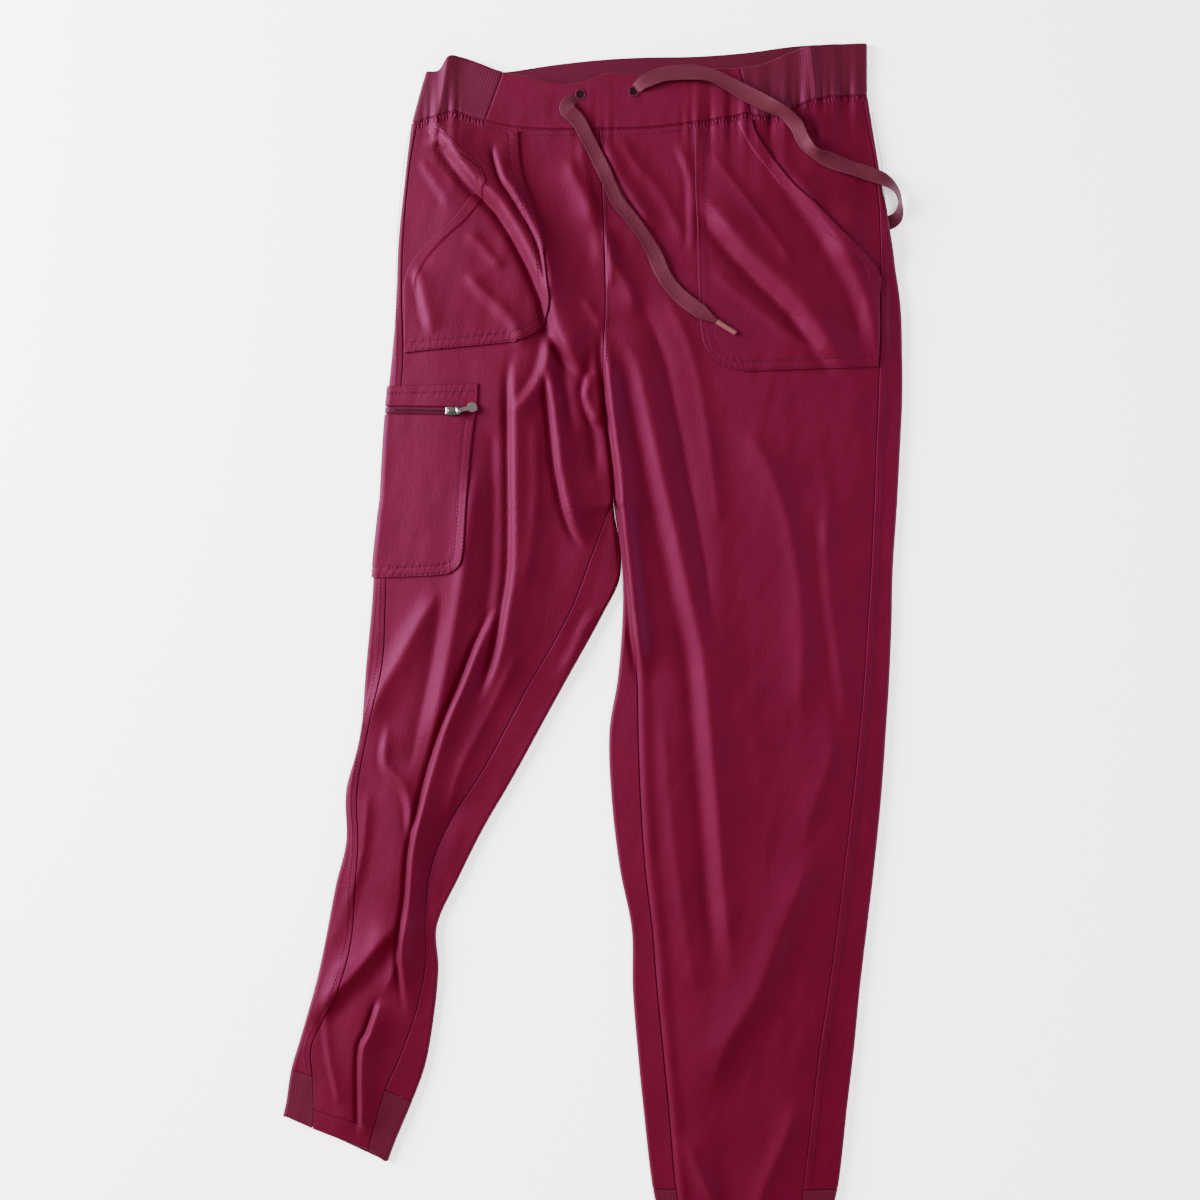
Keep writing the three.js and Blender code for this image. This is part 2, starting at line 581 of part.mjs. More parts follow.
// Patch pockets on the fronts and the zipped cargo pocket over the right side seam
const hipRows = rowsBetween(0, FORK_ROW + 1);
const patchLow = CLOTH / 2 + PATCH_GAP;
const patchHigh = patchLow + CLOTH;
const leftFront = hipRows.map((t) => frontRow(leftLeg, t, LEFT_FRONT_STEPS));
const rightFront = hipRows.map((t) => frontRow(rightLeg, t, RIGHT_FRONT_STEPS));
const rightCover = hipRows.map((t) => coverRow(rightLeg, t, RIGHT_FRONT_STEPS));
add('pocket_left', cutOut(wall(leftFront, patchLow, patchHigh), patchOutline(POCKET_LEFT)), WINE, 0.62);
add('pocket_right', cutOut(wall(rightFront, patchLow, patchHigh), patchOutline(POCKET_RIGHT)), WINE, 0.62);
const upperColumn = rightCover[0].length - 1;
const cargoShell = wall(rightCover, patchLow, patchHigh, upperColumn);
add('cargo_top', cutOut(cargoShell, CARGO_TOP), WINE, 0.62);
add('cargo_pocket', cutOut(cargoShell, CARGO_BODY), WINE, 0.62);
const zipShell = wall(rightCover, patchLow, patchLow + ZIP_TAPE, upperColumn);
add('zip_tape', cutOut(zipShell, ZIP_WINDOW), ZIP_WINE, 0.7);

// Rib-knit waistband: a row across it, from low (0) to its top edge (1)
function ribRow(t) {
  const rightEdge = mix(RIB_EDGES.rightLow, RIB_EDGES.rightTop, t) + RIB_KNIT / 2 + RIB_ROLL;
  const leftEdge = mix(RIB_EDGES.leftLow, RIB_EDGES.leftTop, t) - RIB_KNIT / 2 - RIB_ROLL;
  const rightEnd = mix(BAND_ENDS.rightLow, BAND_ENDS.rightTop, t) - SEAM / 2;
  const leftEnd = mix(BAND_ENDS.leftLow, BAND_ENDS.leftTop, t) + SEAM / 2;
  const front = (x) => {
    const y = mix(lineAt(WAIST_SEAM, x) + WAIST_GAP, lineAt(TOP_FRONT, x), t);
    return new THREE.Vector3(x, y, topHeight(x, y, Math.min(x - rightEdge, leftEdge - x) + RIB_ROLL, CROWN_REACH));
  };
  const back = (x) => new THREE.Vector3(
    x,
    mix(lineAt(BACK_SEAM, x) + SEAM, lineAt(TOP_BACK, x), t),
    RIB_KNIT / 2,
  );
  const row = [];
  for (let k = 0; k <= RIB_STRIP_STEPS; k += 1) row.push(front(mix(rightEnd, rightEdge, k / RIB_STRIP_STEPS)));
  row.push(...rollPlaces(rightEdge, -RIB_ROLL, row.at(-1), back(rightEdge)));
  for (let k = 1; k <= RIB_BACK_STEPS; k += 1) row.push(back(mix(rightEdge, leftEdge, k / RIB_BACK_STEPS)));
  row.push(...rollPlaces(leftEdge, RIB_ROLL, back(leftEdge), front(leftEdge)));
  for (let k = 1; k <= RIB_STRIP_STEPS; k += 1) row.push(front(mix(leftEdge, leftEnd, k / RIB_STRIP_STEPS)));
  return row;
}

function bandRow(t) {
  const from = mix(BAND_ENDS.rightLow, BAND_ENDS.rightTop, t) + SEAM / 2;
  const to = mix(BAND_ENDS.leftLow, BAND_ENDS.leftTop, t) - SEAM / 2;
  return Array.from({ length: BAND_STEPS + 1 }, (_, k) => {
    const x = mix(from, to, k / BAND_STEPS);
    const y = mix(lineAt(WAIST_SEAM, x) + WAIST_GAP, lineAt(TOP_FRONT, x), t);
    return new THREE.Vector3(x, y, topHeight(x, y, CROWN_REACH, CROWN_REACH));
  });
}

const waistRows = Array.from({ length: WAIST_STEPS }, (_, k) => k / (WAIST_STEPS - 1));
add('waistband_rib', wall(waistRows.map(ribRow), -RIB_KNIT / 2, RIB_KNIT / 2), RIB_WINE, 0.85);
add('waistband_front', wall(waistRows.map(bandRow), -RIB_KNIT / 2, RIB_KNIT / 2), WINE, 0.62);

// A flat tape along its route: an eight-sided section, turned about its run, narrowed into its tip
function tapeGeometry(route) {
  const corner = TAPE.corner;
  const half = TAPE.wide / 2;
  const thin = TAPE.thick / 2;
  const section = [
    [half - corner, thin], [half, thin - corner], [half, corner - thin], [half - corner, -thin],
    [corner - half, -thin], [-half, corner - thin], [-half, thin - corner], [corner - half, thin],
  ];
  const curve = [0, 1, 2, 3].map((k) => route.map((place) => place[k]));
  const at = (s) => curve.map((column) => spline(column, s * (route.length - 1)));
  const positions = [];
  for (let k = 0; k <= TAPE_SPLIT; k += 1) {
    const s = k / TAPE_SPLIT;
    const [x, y, z, turn] = at(s);
    const before = new THREE.Vector3(...at(Math.max(s - 0.01, 0)));
    const run = new THREE.Vector3(...at(Math.min(s + 0.01, 1))).sub(before).normalize();
    const across = new THREE.Vector3(0, 0, 1).cross(run).normalize().applyAxisAngle(run, radians(turn));
    const out = run.clone().cross(across);
    across.multiplyScalar(mix(1, TAPE.end, smooth((s - TAPE.taper) / (1 - TAPE.taper))));
    section.forEach(([a, b]) => {
      positions.push(...new THREE.Vector3(x, y, z).addScaledVector(across, a).addScaledVector(out, b).toArray());
    });
  }
  const sides = section.length;
  const quads = [];
  for (let k = 0; k < TAPE_SPLIT; k += 1) {
    for (let j = 0; j < sides; j += 1) {
      const next = (j + 1) % sides;
      quads.push([k * sides + j, k * sides + next, (k + 1) * sides + next, (k + 1) * sides + j]);
    }
  }
  const caps = [[7, 4, 3, 0], [6, 5, 4, 7], [3, 2, 1, 0]];
  caps.forEach((cap) => {
    quads.push(cap);
    quads.push([...cap].reverse().map((j) => TAPE_SPLIT * sides + j));
  });
  return closedGeometry(positions, quads);
}

// The stiffened end of a tape, an oval sleeve in line with its last stretch
function addAglet(name, route) {
  const end = new THREE.Vector3(...route.at(-1).slice(0, 3));
  const run = end.clone().sub(new THREE.Vector3(...route.at(-2).slice(0, 3))).normalize();
  const sleeve = new THREE.CylinderGeometry(AGLET.tip, 0.5, AGLET.long, ROUND_SIDES);
  sleeve.rotateZ(-Math.PI / 2).scale(1, AGLET.wide, AGLET.thick).translate(AGLET.long / 2, 0, 0);
  const mesh = add(name, fromSolid(toSolid(sleeve)), AGLET_PINK, 0.5);
  const across = new THREE.Vector3(0, 0, 1).cross(run).normalize();
  mesh.setRotationFromMatrix(new THREE.Matrix4().makeBasis(run, across, run.clone().cross(across)));
  mesh.position.copy(end).addScaledVector(run, SEAM);
}

add('drawstring_right', tapeGeometry(DRAWSTRING_RIGHT), TAPE_WINE, 0.8);
add('drawstring_left', tapeGeometry(DRAWSTRING_LEFT), TAPE_WINE, 0.8);
addAglet('aglet_right', DRAWSTRING_RIGHT);
addAglet('aglet_left', DRAWSTRING_LEFT);

// Slider: a body in line with the zip, two lugs and the pin that the pull tab turns on
const pinHeight = SLIDER.tall + BAIL.above;
function sliderSolid() {
  const long = SLIDER.long / 2;
  const wide = SLIDER.wide / 2;
  const body = block([
    [-long, -wide * 0.8], [-long * 0.4, -wide], [long * 0.6, -wide * 0.9], [long, -wide * 0.5],
    [long, wide * 0.5], [long * 0.6, wide * 0.9], [-long * 0.4, wide], [-long, wide * 0.8],
  ], SLIDER.tall);
  body.rotateZ(radians(SLIDER.turn));
  let solid = toSolid(body);
  const place = (geometry) => {
    geometry.rotateZ(radians(BAIL.turn)).translate(BAIL.x - SLIDER.x, 0, 0);
    return toSolid(geometry);
  };
  [-1, 1].forEach((end) => {
    const lug = new THREE.BoxGeometry(2.4, BAIL.lug, pinHeight + BAIL.radius - SLIDER.tall + 0.5);
    lug.translate(0, end * (BAIL.span + BAIL.lug) / 2, (pinHeight + BAIL.radius + SLIDER.tall - 0.5) / 2);
    solid = solid.add(place(lug));
  });
  const pin = new THREE.CylinderGeometry(BAIL.radius, BAIL.radius, BAIL.span + BAIL.lug, PIN_SIDES);
  return solid.add(place(pin.translate(0, 0, pinHeight)));
}
const slider = add('zip_slider', fromSolid(sliderSolid()), NICKEL, 0.3, 1);
slider.position.set(SLIDER.x, SLIDER.y, SLIDER.z);

// Pull tab: an eye round the pin, a neck and a round end, in its own frame with the pin along Y
function pullSolid() {
  const eye = new THREE.CylinderGeometry(PULL.eyeOuter, PULL.eyeOuter, PULL.neck, ROUND_SIDES);
  const neck = new THREE.BoxGeometry(PULL.long, PULL.neck, PULL.thick).translate(PULL.long / 2, 0, 0);
  const end = new THREE.CylinderGeometry(PULL.end, PULL.end, PULL.thick, ROUND_SIDES * 2);
  end.rotateX(Math.PI / 2).translate(PULL.long, 0, 0);
  const hole = new THREE.CylinderGeometry(PULL.eye, PULL.eye, PULL.neck + 1, ROUND_SIDES);
  return toSolid(eye).add(toSolid(neck)).add(toSolid(end)).subtract(toSolid(hole));
}
const pull = add('zip_pull', fromSolid(pullSolid()), NICKEL, 0.28, 1);
pull.rotation.set(0, radians(PULL.dip), radians(BAIL.turn), 'ZYX');
pull.position.set(BAIL.x, SLIDER.y, SLIDER.z + pinHeight);

export default group;
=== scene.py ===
"""Dresses a pair of jogger-cut scrub trousers that lie flat on a pale table, front up."""
import math

import bpy
import numpy as np
from bpy.props import FloatProperty, PointerProperty
from bpy.types import Operator, Panel, PropertyGroup
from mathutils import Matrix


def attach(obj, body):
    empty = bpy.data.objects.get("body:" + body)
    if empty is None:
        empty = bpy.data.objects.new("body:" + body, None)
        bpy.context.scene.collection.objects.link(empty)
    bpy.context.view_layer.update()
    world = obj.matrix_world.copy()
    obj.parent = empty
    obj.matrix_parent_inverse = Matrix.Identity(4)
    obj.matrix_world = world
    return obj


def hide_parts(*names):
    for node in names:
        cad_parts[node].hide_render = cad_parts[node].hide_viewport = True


bl_info = {
    "name": "Scrub Trousers",
    "version": (1, 0, 0),
    "blender": (4, 5, 0),
    "location": "View3D > Sidebar > Trousers",
    "description": "Cloth, rib, sewing, zip and drawstring of scrub trousers laid flat",
    "category": "Object",
}

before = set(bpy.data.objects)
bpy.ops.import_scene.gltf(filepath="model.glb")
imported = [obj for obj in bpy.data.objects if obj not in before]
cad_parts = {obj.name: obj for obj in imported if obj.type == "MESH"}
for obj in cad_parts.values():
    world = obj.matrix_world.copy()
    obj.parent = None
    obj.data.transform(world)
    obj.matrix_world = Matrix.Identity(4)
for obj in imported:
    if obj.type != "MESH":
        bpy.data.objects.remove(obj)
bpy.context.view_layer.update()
GARMENT = "garment"
PULL_TAB = "zip_pull_tab"

# Walls, gaps, heights and rolls, in millimetres
MM = 0.001
CLOTH = 1.2
RIB_KNIT = 2.0
SEAM = 0.3
PATCH_GAP = 0.45
WAIST_GAP = 0.55
INNER_SEAM_GAP = 0.25
EDGE_HEIGHT = 5.2
CROWN = 2.4
CROWN_REACH = 50
LOWEST = 4.3
OUTER_ROLL = 3.2
INNER_ROLL = 2.5
LIP_ROLL = 1.2
LIP_HEIGHT = 2.7
LIP_REACH = 1.5

# Rows of each leg's table where a piece starts or ends
CROTCH_ROW = 7
WRAPPED_ROW = 8
BACK_END = 19
FRONT_END = 20
HEM = 21

# Outer edge, side seam, front panel's inner seam and back panel's inner edge, down each leg
LEG_COLUMNS = ("edge_x", "edge_y", "side_x", "side_y", "front_x", "front_y", "inner_x", "inner_y")
RIGHT_ROWS = (
    (-154, 446, -149, 446, 6, 439, 10, 439),
    (-159, 403, -156, 403, 8, 394, 11, 394),
    (-165, 345, -161, 344, 10, 340, 13, 340),
    (-167, 294, -162, 294, 11, 291, 14, 291),
    (-171, 247, -161, 248, 9, 246, 15, 246),
    (-175, 207, -164, 207, 10, 206, 16, 206),
    (-178, 165, -169, 165, 14, 163, 17, 163),
    (-180, 126, -171, 126, 17, 126, 17.5, 126),
    (-182, 112, -173, 112, 11, 108, 19.2, 110),
    (-186, 73, -175, 71, -1, 76, 24.3, 62),
    (-188, 37, -176, 36, -20, 27, 8, 25),
    (-193, -16, -179, -19, -57, -39, -30, -44),
    (-198, -76, -192, -77, -92, -104, -67, -112),
    (-210, -122, -200, -125, -119, -146, -92, -155),
    (-210, -165, -199, -169, -137, -187, -113, -197),
    (-219, -203, -202, -209, -142, -229, -132, -240),
    (-227, -246, -205, -252, -142, -270, -131, -277),
    (-236, -288, -216, -293, -150, -311, -135, -318),
    (-249, -333, -238, -337, -164, -350, -142, -357),
    (-257, -360, -238, -366, -176, -377, -153, -388),
    (-261, -386, -237, -394, -186, -410, -167, -422),
    (-264, -399, -238, -410, -190, -428, -174, -441),
)
LEFT_ROWS = (
    (234, 468, 230, 466, 6, 439, 10, 439),
    (244, 406, 241, 405, 8, 394, 11, 394),
    (254, 345, 244, 345, 10, 340, 13, 340),
    (262, 294, 244, 294, 11, 291, 14, 291),
    (264, 247, 244, 246, 9, 246, 15, 246),
    (264, 207, 243, 206, 10, 206, 16, 206),
    (262, 165, 241, 163, 14, 163, 17, 163),
    (260, 126, 240, 126, 17, 126, 17.5, 126),
    (259, 110, 239, 110, 24, 110, 19.5, 110),
    (256, 63, 237, 63, 29.5, 62, 25.5, 62),
    (255, 18, 234, 18, 34, 18, 25, 18),
    (253, -29, 231, -29, 38, -29, 21, -29),
    (250, -76, 227, -76, 39, -76, 14, -74),
    (246, -131, 221, -131, 41, -131, 16, -131),
    (240, -190, 214, -190, 45, -190, 23, -190),
    (234, -241, 208, -241, 51, -241, 33, -241),
    (228, -292, 201, -292, 55, -292, 34, -292),
    (223, -343, 193, -343, 60, -343, 38, -343),
    (217, -394, 187, -394, 65, -394, 43, -394),
    (209, -462, 179, -462, 71, -462, 51, -462),
    (197, -500, 173, -500, 79, -500, 61, -500),
    (193, -513, 170, -513, 83, -513, 64, -513),
)

# Main folds, on the lines of the frame's: rise, half width, lean, fade and the route. A lean
# below 0 makes the side to the left of a downward route the steep one.
FOLDS = (
    (8, 16, -0.55, 40, ((-138, 454), (-119, 425), (-102, 401), (-74, 372), (-51, 333), (-36, 298),
                       (-26, 262), (-2, 226))),
    (-3.5, 6, 0, 30, ((-34, 289), (-27, 253), (-22, 210), (-15, 173))),
    (5, 6, -0.4, 12, ((-2, 234), (-5, 216), (-2, 201), (6, 184))),
    (5, 8, -0.3, 25, ((-34, 280), (-39, 241), (-52, 214), (-72, 194))),
    (6.5, 9, -0.5, 35, ((-38, 243), (-31, 186), (-27, 150), (-17, 107), (-2, 80))),
    (6.5, 11, -0.6, 60, ((-59, 254), (-66, 230), (-66, 170), (-66, 73), (-72, 26), (-80, -15),
                         (-96, -56))),
    (5, 12, -0.1, 50, ((-97, 162), (-104, 111), (-111, 52), (-126, -30), (-142, -100))),
    (4.5, 12, -0.2, 40, ((-119, 58), (-142, 27), (-164, -12), (-181, -42), (-193, -80))),
    (6, 9, -0.6, 60, ((-74, 42), (-87, 18), (-96, -1), (-109, -34), (-123, -67), (-136, -108),
                      (-144, -140), (-152, -176), (-155, -214), (-161, -262), (-155, -316))),
    (3, 6, -0.3, 30, ((-172, -60), (-176, -100), (-157, -126), (-152, -176))),
    (6, 13, 0.25, 35, ((-158, -226), (-181, -252), (-202, -277), (-231, -306), (-244, -328))),
    (5, 8, -0.5, 20, ((-178, -298), (-188, -328), (-195, -348), (-195, -418))),
    (-2.5, 6, 0, 30, ((-104, -122), (-131, -170), (-141, -212), (-134, -244))),
    (9, 9, -0.55, 45, ((12, 272), (12, 246), (14, 226), (17, 196), (23, 150), (26, 110), (31, 62),
                       (36, 18), (44, -34))),
    (-3, 6, 0, 30, ((-3, 262), (-4, 222), (1, 180), (5, 136))),
    (4, 9, -0.2, 20, ((10, 434), (19, 406), (36, 377), (55, 350))),
    (3.5, 9, 0.2, 20, ((-22, 420), (-14, 396), (-4, 374), (0, 350))),
    (3, 8, 0, 18, ((8, 355), (16, 327), (28, 308), (40, 279))),
    (5.2, 16, -0.35, 70, ((13, 275), (36, 245), (46, 205), (58, 151), (70, 100), (84, 36), (94, -12),
                        (100, -71), (106, -140), (112, -213), (120, -290))),
    (-3, 7, 0, 60, ((34, 311), (52, 267), (62, 240), (72, 190), (80, 150), (94, 73), (104, 5))),
    (6, 17, -0.4, 45, ((91, 388), (130, 337), (176, 290), (222, 226))),
    (4.4, 13, -0.3, 40, ((151, 422), (202, 354), (232, 294), (244, 236))),
    (3.5, 13, 0, 50, ((120, 196), (150, 150), (170, 84), (178, 10), (176, -70))),
    (6, 19, 0.2, 60, ((194, -160), (174, -204), (155, -252), (135, -301), (111, -340), (95, -392))),
    (3.5, 9, 0, 25, ((74, -411), (91, -445), (110, -488))),
    (3.5, 10, 0.1, 30, ((174, -380), (163, -418), (146, -458), (132, -505))),
    (4, 7, -0.2, 1, ((-121, 508), (-125, 481), (-131, 445), (-134, 425))),
    (3, 8, -0.2, 1, ((184, 514), (187, 486), (192, 455), (196, 430))),
)

# Smaller creases between the main folds, in the same columns
CREASES = (
    (3.5, 6, -0.4, 24, ((-84, 430), (-75, 398), (-65, 383), (-55, 366), (-43, 342), (-37, 318),
                        (-33, 292))),
    (-1.6, 4, 0, 16, ((-84, 432), (-80, 400), (-68, 374), (-56, 350))),
    (1.6, 5, -0.3, 12, ((-146, 416), (-141, 404), (-130, 388), (-120, 372))),
    (2.6, 8, -0.3, 16, ((-150, 326), (-145, 308), (-140, 286), (-134, 262))),
    (2.6, 7, -0.2, 14, ((-108, 318), (-96, 303), (-81, 289), (-68, 275), (-62, 262), (-64, 250))),
    (1.8, 5, 0, 12, ((-110, 350), (-98, 344), (-86, 330), (-74, 318))),
    (1.6, 6, 0, 18, ((-10, 436), (-6, 402), (2, 360), (6, 318))),
    (2.2, 4, -0.3, 12, ((9, 357), (13, 344), (15, 330), (14, 300))),
    (1.8, 5, -0.2, 12, ((-10, 296), (2, 280), (9, 266))),
    (1.6, 6, 0, 16, ((22, 436), (36, 410), (58, 384), (80, 340))),
    (1.5, 6, 0, 22, ((60, 300), (84, 250), (98, 180), (108, 100))),
    (1.8, 7, 0, 26, ((-50, 200), (-48, 150), (-50, 96), (-60, 40))),
    (2.2, 6, -0.3, 18, ((6, 36), (-8, 14), (-18, -8), (-30, -28))),
    (-1.8, 6, 0, 22, ((-86, 190), (-84, 130), (-86, 60), (-94, 10))),
    (-1.6, 6, 0, 22, ((-128, 60), (-134, 0), (-146, -60), (-156, -110))),
    (1.6, 6, 0, 26, ((-60, 0), (-84, -50), (-110, -100), (-126, -150))),
    (1.8, 7, 0.2, 20, ((-190, -120), (-196, -180), (-214, -236), (-224, -262))),
    (2.0, 6, 0, 20, ((-150, -222), (-160, -250), (-172, -284), (-180, -300))),
    (1.6, 5, -0.3, 14, ((-206, -262), (-221, -286), (-226, -330), (-214, -392))),
    (1.5, 8, -0.3, 30, ((196, 124), (201, 46), (209, -13), (217, -71))),
    (1.6, 9, 0.2, 40, ((193, -60), (203, -90), (186, -140), (174, -184))),
    (1.4, 9, -0.2, 26, ((60, -60), (66, -140), (76, -220), (88, -300))),
    (1.6, 8, 0.2, 24, ((80, -428), (92, -448), (108, -472))),
    (1.2, 6, 0, 14, ((100, 420), (120, 392), (150, 352), (172, 320))),
    (1.3, 6, -0.2, 14, ((100, 320), (132, 292), (170, 262), (206, 246))),
    (-1.2, 7, 0, 16, ((108, 352), (140, 312), (186, 268))),
    (0.7, 7, 0, 16, ((180, 128), (206, 122), (228, 126))),
    (0.8, 7, -0.3, 20, ((198, 146), (200, 112), (198, 76))),
    (1.8, 5, -0.3, 20, ((70, 431), (82, 400), (84, 370), (84, 330))),
)
# Roll of the left front's edge beside its inseam: rise, half width and distance from the seam
SEAM_ROLL = (1.6, 6, 4.4)

# Gathers under the waist seam: from, to, pitch and rise
GATHER_REACH = 22
GATHERS = ((-140, -112, 19, 1.3), (84, 136, 20, 1.3), (136, 234, 21, 1.6))
FINE_GATHER_REACH = 13
FINE_GATHERS = ((-150, -108, 7.5, 0.55), (70, 136, 8, 0.5), (136, 234, 8.5, 0.75), (-20, 24, 8, 0.4))

# Seeded unevenness of the cloth: rise, width, length, angle and seed
UNEVEN = ((0.5, 22, 75, 4, 11), (0.22, 9, 26, -12, 12))

# Lines of the waist
WAIST_SEAM = (
    (-154, 446), (-148, 445), (-140, 448.5), (-132, 449), (-118, 453), (-100, 448), (-68, 441),
    (-49, 439), (6, 439), (49, 440), (90, 445), (122, 450), (133, 452), (144, 449), (158, 450.5),
    (174, 458), (190, 463.5), (214, 467.5), (234, 468),
)
TOP_FRONT = (
    (-142, 489), (-130, 490), (-122, 500), (-111, 500), (-96, 495), (-81, 489), (-53, 483),
    (-22, 477), (-2, 481), (11, 486), (40, 485), (74, 490), (125, 491), (144, 494), (159, 500),
    (176, 507), (192, 510), (234, 513),
)
TOP_BACK = (
    (-142, 489), (-81, 489), (-31, 496), (6, 500), (40, 502), (91, 503), (130, 506), (177, 512),
    (234, 513.4),
)
BACK_SEAM = ((-154, 446), (10, 439), (234, 468))
BAND_LOW = (-91, 135)
BAND_TOP = (-76, 125)
RIB_LOW = (-154, 234)
RIB_TOP = (-142, 234)
RIB_ROLL = 3

# Patches: rows from the waist down, from the outer edge to the inner edge
PATCH_COLUMNS = ("out_x", "out_y", "in_x", "in_y")
POCKET_LEFT = (
    (135, 447, 87, 439), (141, 431, 87, 424), (152, 415, 87, 408), (169, 394, 87, 388),
    (189, 374, 88, 366), (215, 346, 89, 340), (242, 318, 90, 310), (242.5, 290, 91, 282),
    (242.5, 262, 94, 258), (242.5, 248, 101, 246), (242.5, 240, 113, 237), (242.5, 237, 129, 233),
)
POCKET_RIGHT = (
    (-140, 438, -63, 437), (-131, 429, -63, 429), (-119, 415, -62, 413), (-105, 402, -60, 398),
    (-99, 390, -56, 386), (-107, 376, -52, 374), (-119, 361, -47, 360), (-139, 343, -42, 341),
    (-154, 325, -39, 323), (-160, 307, -37, 305), (-160, 284, -36, 286), (-160, 262, -46, 268),
    (-160, 249, -66, 258),
)

# Patch pockets: height of both faces over the panel's middle, size and step of the grid, last
# row of a leg that a patch reaches, and the turned hem of the opening
PATCH_LOW = CLOTH / 2 + PATCH_GAP
PATCH_HIGH = PATCH_LOW + CLOTH
POCKET_LONG = 215
POCKET_WIDE = 140
POCKET_STEP = 1.7
LAST_PATCH_ROW = 12.0
HEM_WIDE = 10
HEM_EDGE = 1.4
HEM_RISE = 0.7
HEM_SAMPLES = (9.6, 10.1, 10.6, 11.1, 11.6)
# Rows of stitching on a patch: distance from its edge, depth of the trough, pitch of puckers.
# Then the half widths of a trough and of its puckers.
PATCH_SEAMS = ((1.6, 0.2, 5.3), (8.2, 0.26, 6.4))
TROUGH_HALF = 0.9
PUCKER_HALF = 3.4

# Cargo pocket and its zip: rows down, at the outer edge and at the inner edge
CARGO_COLUMNS = ("out_y", "in_x", "in_y")
CARGO_TOP = ((221, -97, 223), (212, -97.5, 212), (203.5, -98, 202))
CARGO_BODY = (
    (197.5, -98.3, 201.7), (182, -101, 186), (156, -104, 158), (123, -106, 124), (90, -108, 91),
    (74, -109.5, 76), (66, -112.6, 67.4), (61, -121, 62), (59, -132, 60.2), (58, -142, 59.5),
)
CARGO_WIDE = 84
CARGO_STEP = 1.8
CARGO_OUTER = -184
CARGO_RIM = np.array([(CARGO_OUTER, 221.0), (-97, 223), (-98, 202)])

# The zip's window, and the body's top edge: below the window, past its end and the step between
ZIP_WINDOW = ((203.2, -111.3, 201.7), (197.8, -111.3, 196.1))
ZIP_TAPE = 0.9
WINDOW_START = -187
WINDOW_WIDE = 76
WINDOW_END = -110.85
WINDOW_BELOW = (197.5, 195.8)
PAST_WINDOW = 201.85
WINDOW_CORNER = 2.4

# Slider, the bail that holds its pin, and pull tab. An outline is x and half width.
SLIDER_PLACE = (-118, 199, 10.1)
SLIDER_TURN = -2
SLIDER_LONG = 13
SLIDER_TALL = 2.4
SLIDER_OUTLINE = (
    (-6.5, 2.2), (-6.3, 2.9), (-5.6, 3.3), (-4, 3.6), (-2, 3.75), (0, 3.7), (2, 3.55), (4, 3.2),
    (5.4, 2.6), (6.2, 2.0), (6.5, 1.4),
)
BAIL_X = -113.5
BAIL_TURN = 15
BAIL_SPAN = 4.4
BAIL_LUG = 1.1
PIN_RADIUS = 0.6
PIN_HEIGHT = SLIDER_TALL + 2.4
PULL_LONG = 12.5
PULL_NECK = 3.4
PULL_NECK_OUTLINE = ((1.4, 1.5), (1.6, 1.7), (3, 1.7), (5, 1.7), (7, 1.75), (8.3, 1.9))
PULL_END = 4.2
PULL_THICK = 1.2
PULL_DIP = 13
EYE_RADIUS = 1.5

# Coil teeth: a tooth runs from -1 to 1 across, and rises by the second numbers
TOOTH_PITCH = 1.5
TOOTH_RADIUS = 0.42
TOOTH_REACH = 0.75
TOOTH_LEAN = 0.1
TOOTH_ARCH = ((-1, 0.05), (0, 0.35), (1, 0.05))

# The drawstring's two ends: x, y, z and turn, as in the frame
TAPE_WIDE = 13
TAPE_THICK = 1.4
TAPE_SIDES = 48
TAPE_RINGS = 420
# Lengths and amounts: the taper at the tip, and the narrowing where the tape enters its slot
TAPE_TAPER = (17, 0.34)
TAPE_ENTRY = (16, 0.3)
# Lengths at both ends over which the curl comes in, rise of the two edges, how far they draw
# in, and the rise and the length of the rocking
TAPE_FREE = (12, 15)
TAPE_CURL = (1.5, 0.9)
TAPE_PINCH = 0.16
TAPE_ROCK = (0.22, 5.2)
DRAWSTRING_RIGHT = (
    (-13.2, 465.6, 7.6, 0), (-20, 460.4, 11.4, 0), (-21, 453, 12.6, 0), (-12, 444, 11.6, 0),
    (0, 422, 10.8, 0), (11, 399, 12.8, 0), (21, 377, 13, 0), (36, 358, 12.6, 0),
    (50, 337, 11, 0), (60, 315, 9.9, 0), (73, 298, 9.9, 0), (89, 285, 11.4, 0), (105, 275, 11.5, 0),
)
DRAWSTRING_LEFT = (
    (36, 472, 7.6, 0), (41, 475.6, 10.4, 0), (48, 479.4, 11.6, 0), (63, 484, 12, 0), (85, 485, 12.4, 0),
    (104, 481, 13, 0), (128, 468, 13.6, 5), (145, 459, 14.6, 25), (160, 451, 16.6, 55),
    (172, 440, 15, 35), (178, 428, 14, 30), (187, 417, 16, 60), (201, 411, 12.4, 20),
    (216, 406, 10.2, 0), (232, 401, 9.8, 0), (247, 395, 10.4, -15), (257, 387, 8.8, -45),
    (261, 376, 7, -60), (259, 365, 4.4, -30), (250, 359, 1.7, 0), (240, 355, 1.7, 0),
)
AGLET_LONG = 19
AGLET_WIDE = 4.8
AGLET_THICK = 3.2
AGLET_TIP = 0.88
AGLET_SIDES = 32

# The left hip lies over the hidden end of the drawstring: its rise, and across and down the
# middle, the half length and the fade
LIFT_RISE = 4.4
LIFT_X = (262, 38, 32)
LIFT_Y = (354, 13, 24)

# Photograph's frame: millimetres to a pixel, its side in pixels, and the pixel at the origin
PIXEL = 0.85
PHOTO_SIDE = 1200
PHOTO_ORIGIN = (592.5, 646)

# Form of a fold: depth of the trough at its foot, roundness of its crest, width of a raised
# one, and how much its lean counts, up to a limit
UNDERCUT = 0.55
PINCH = 0.012
SLIM = 0.88
STEEPER = 1.25
STEEPEST = 0.64

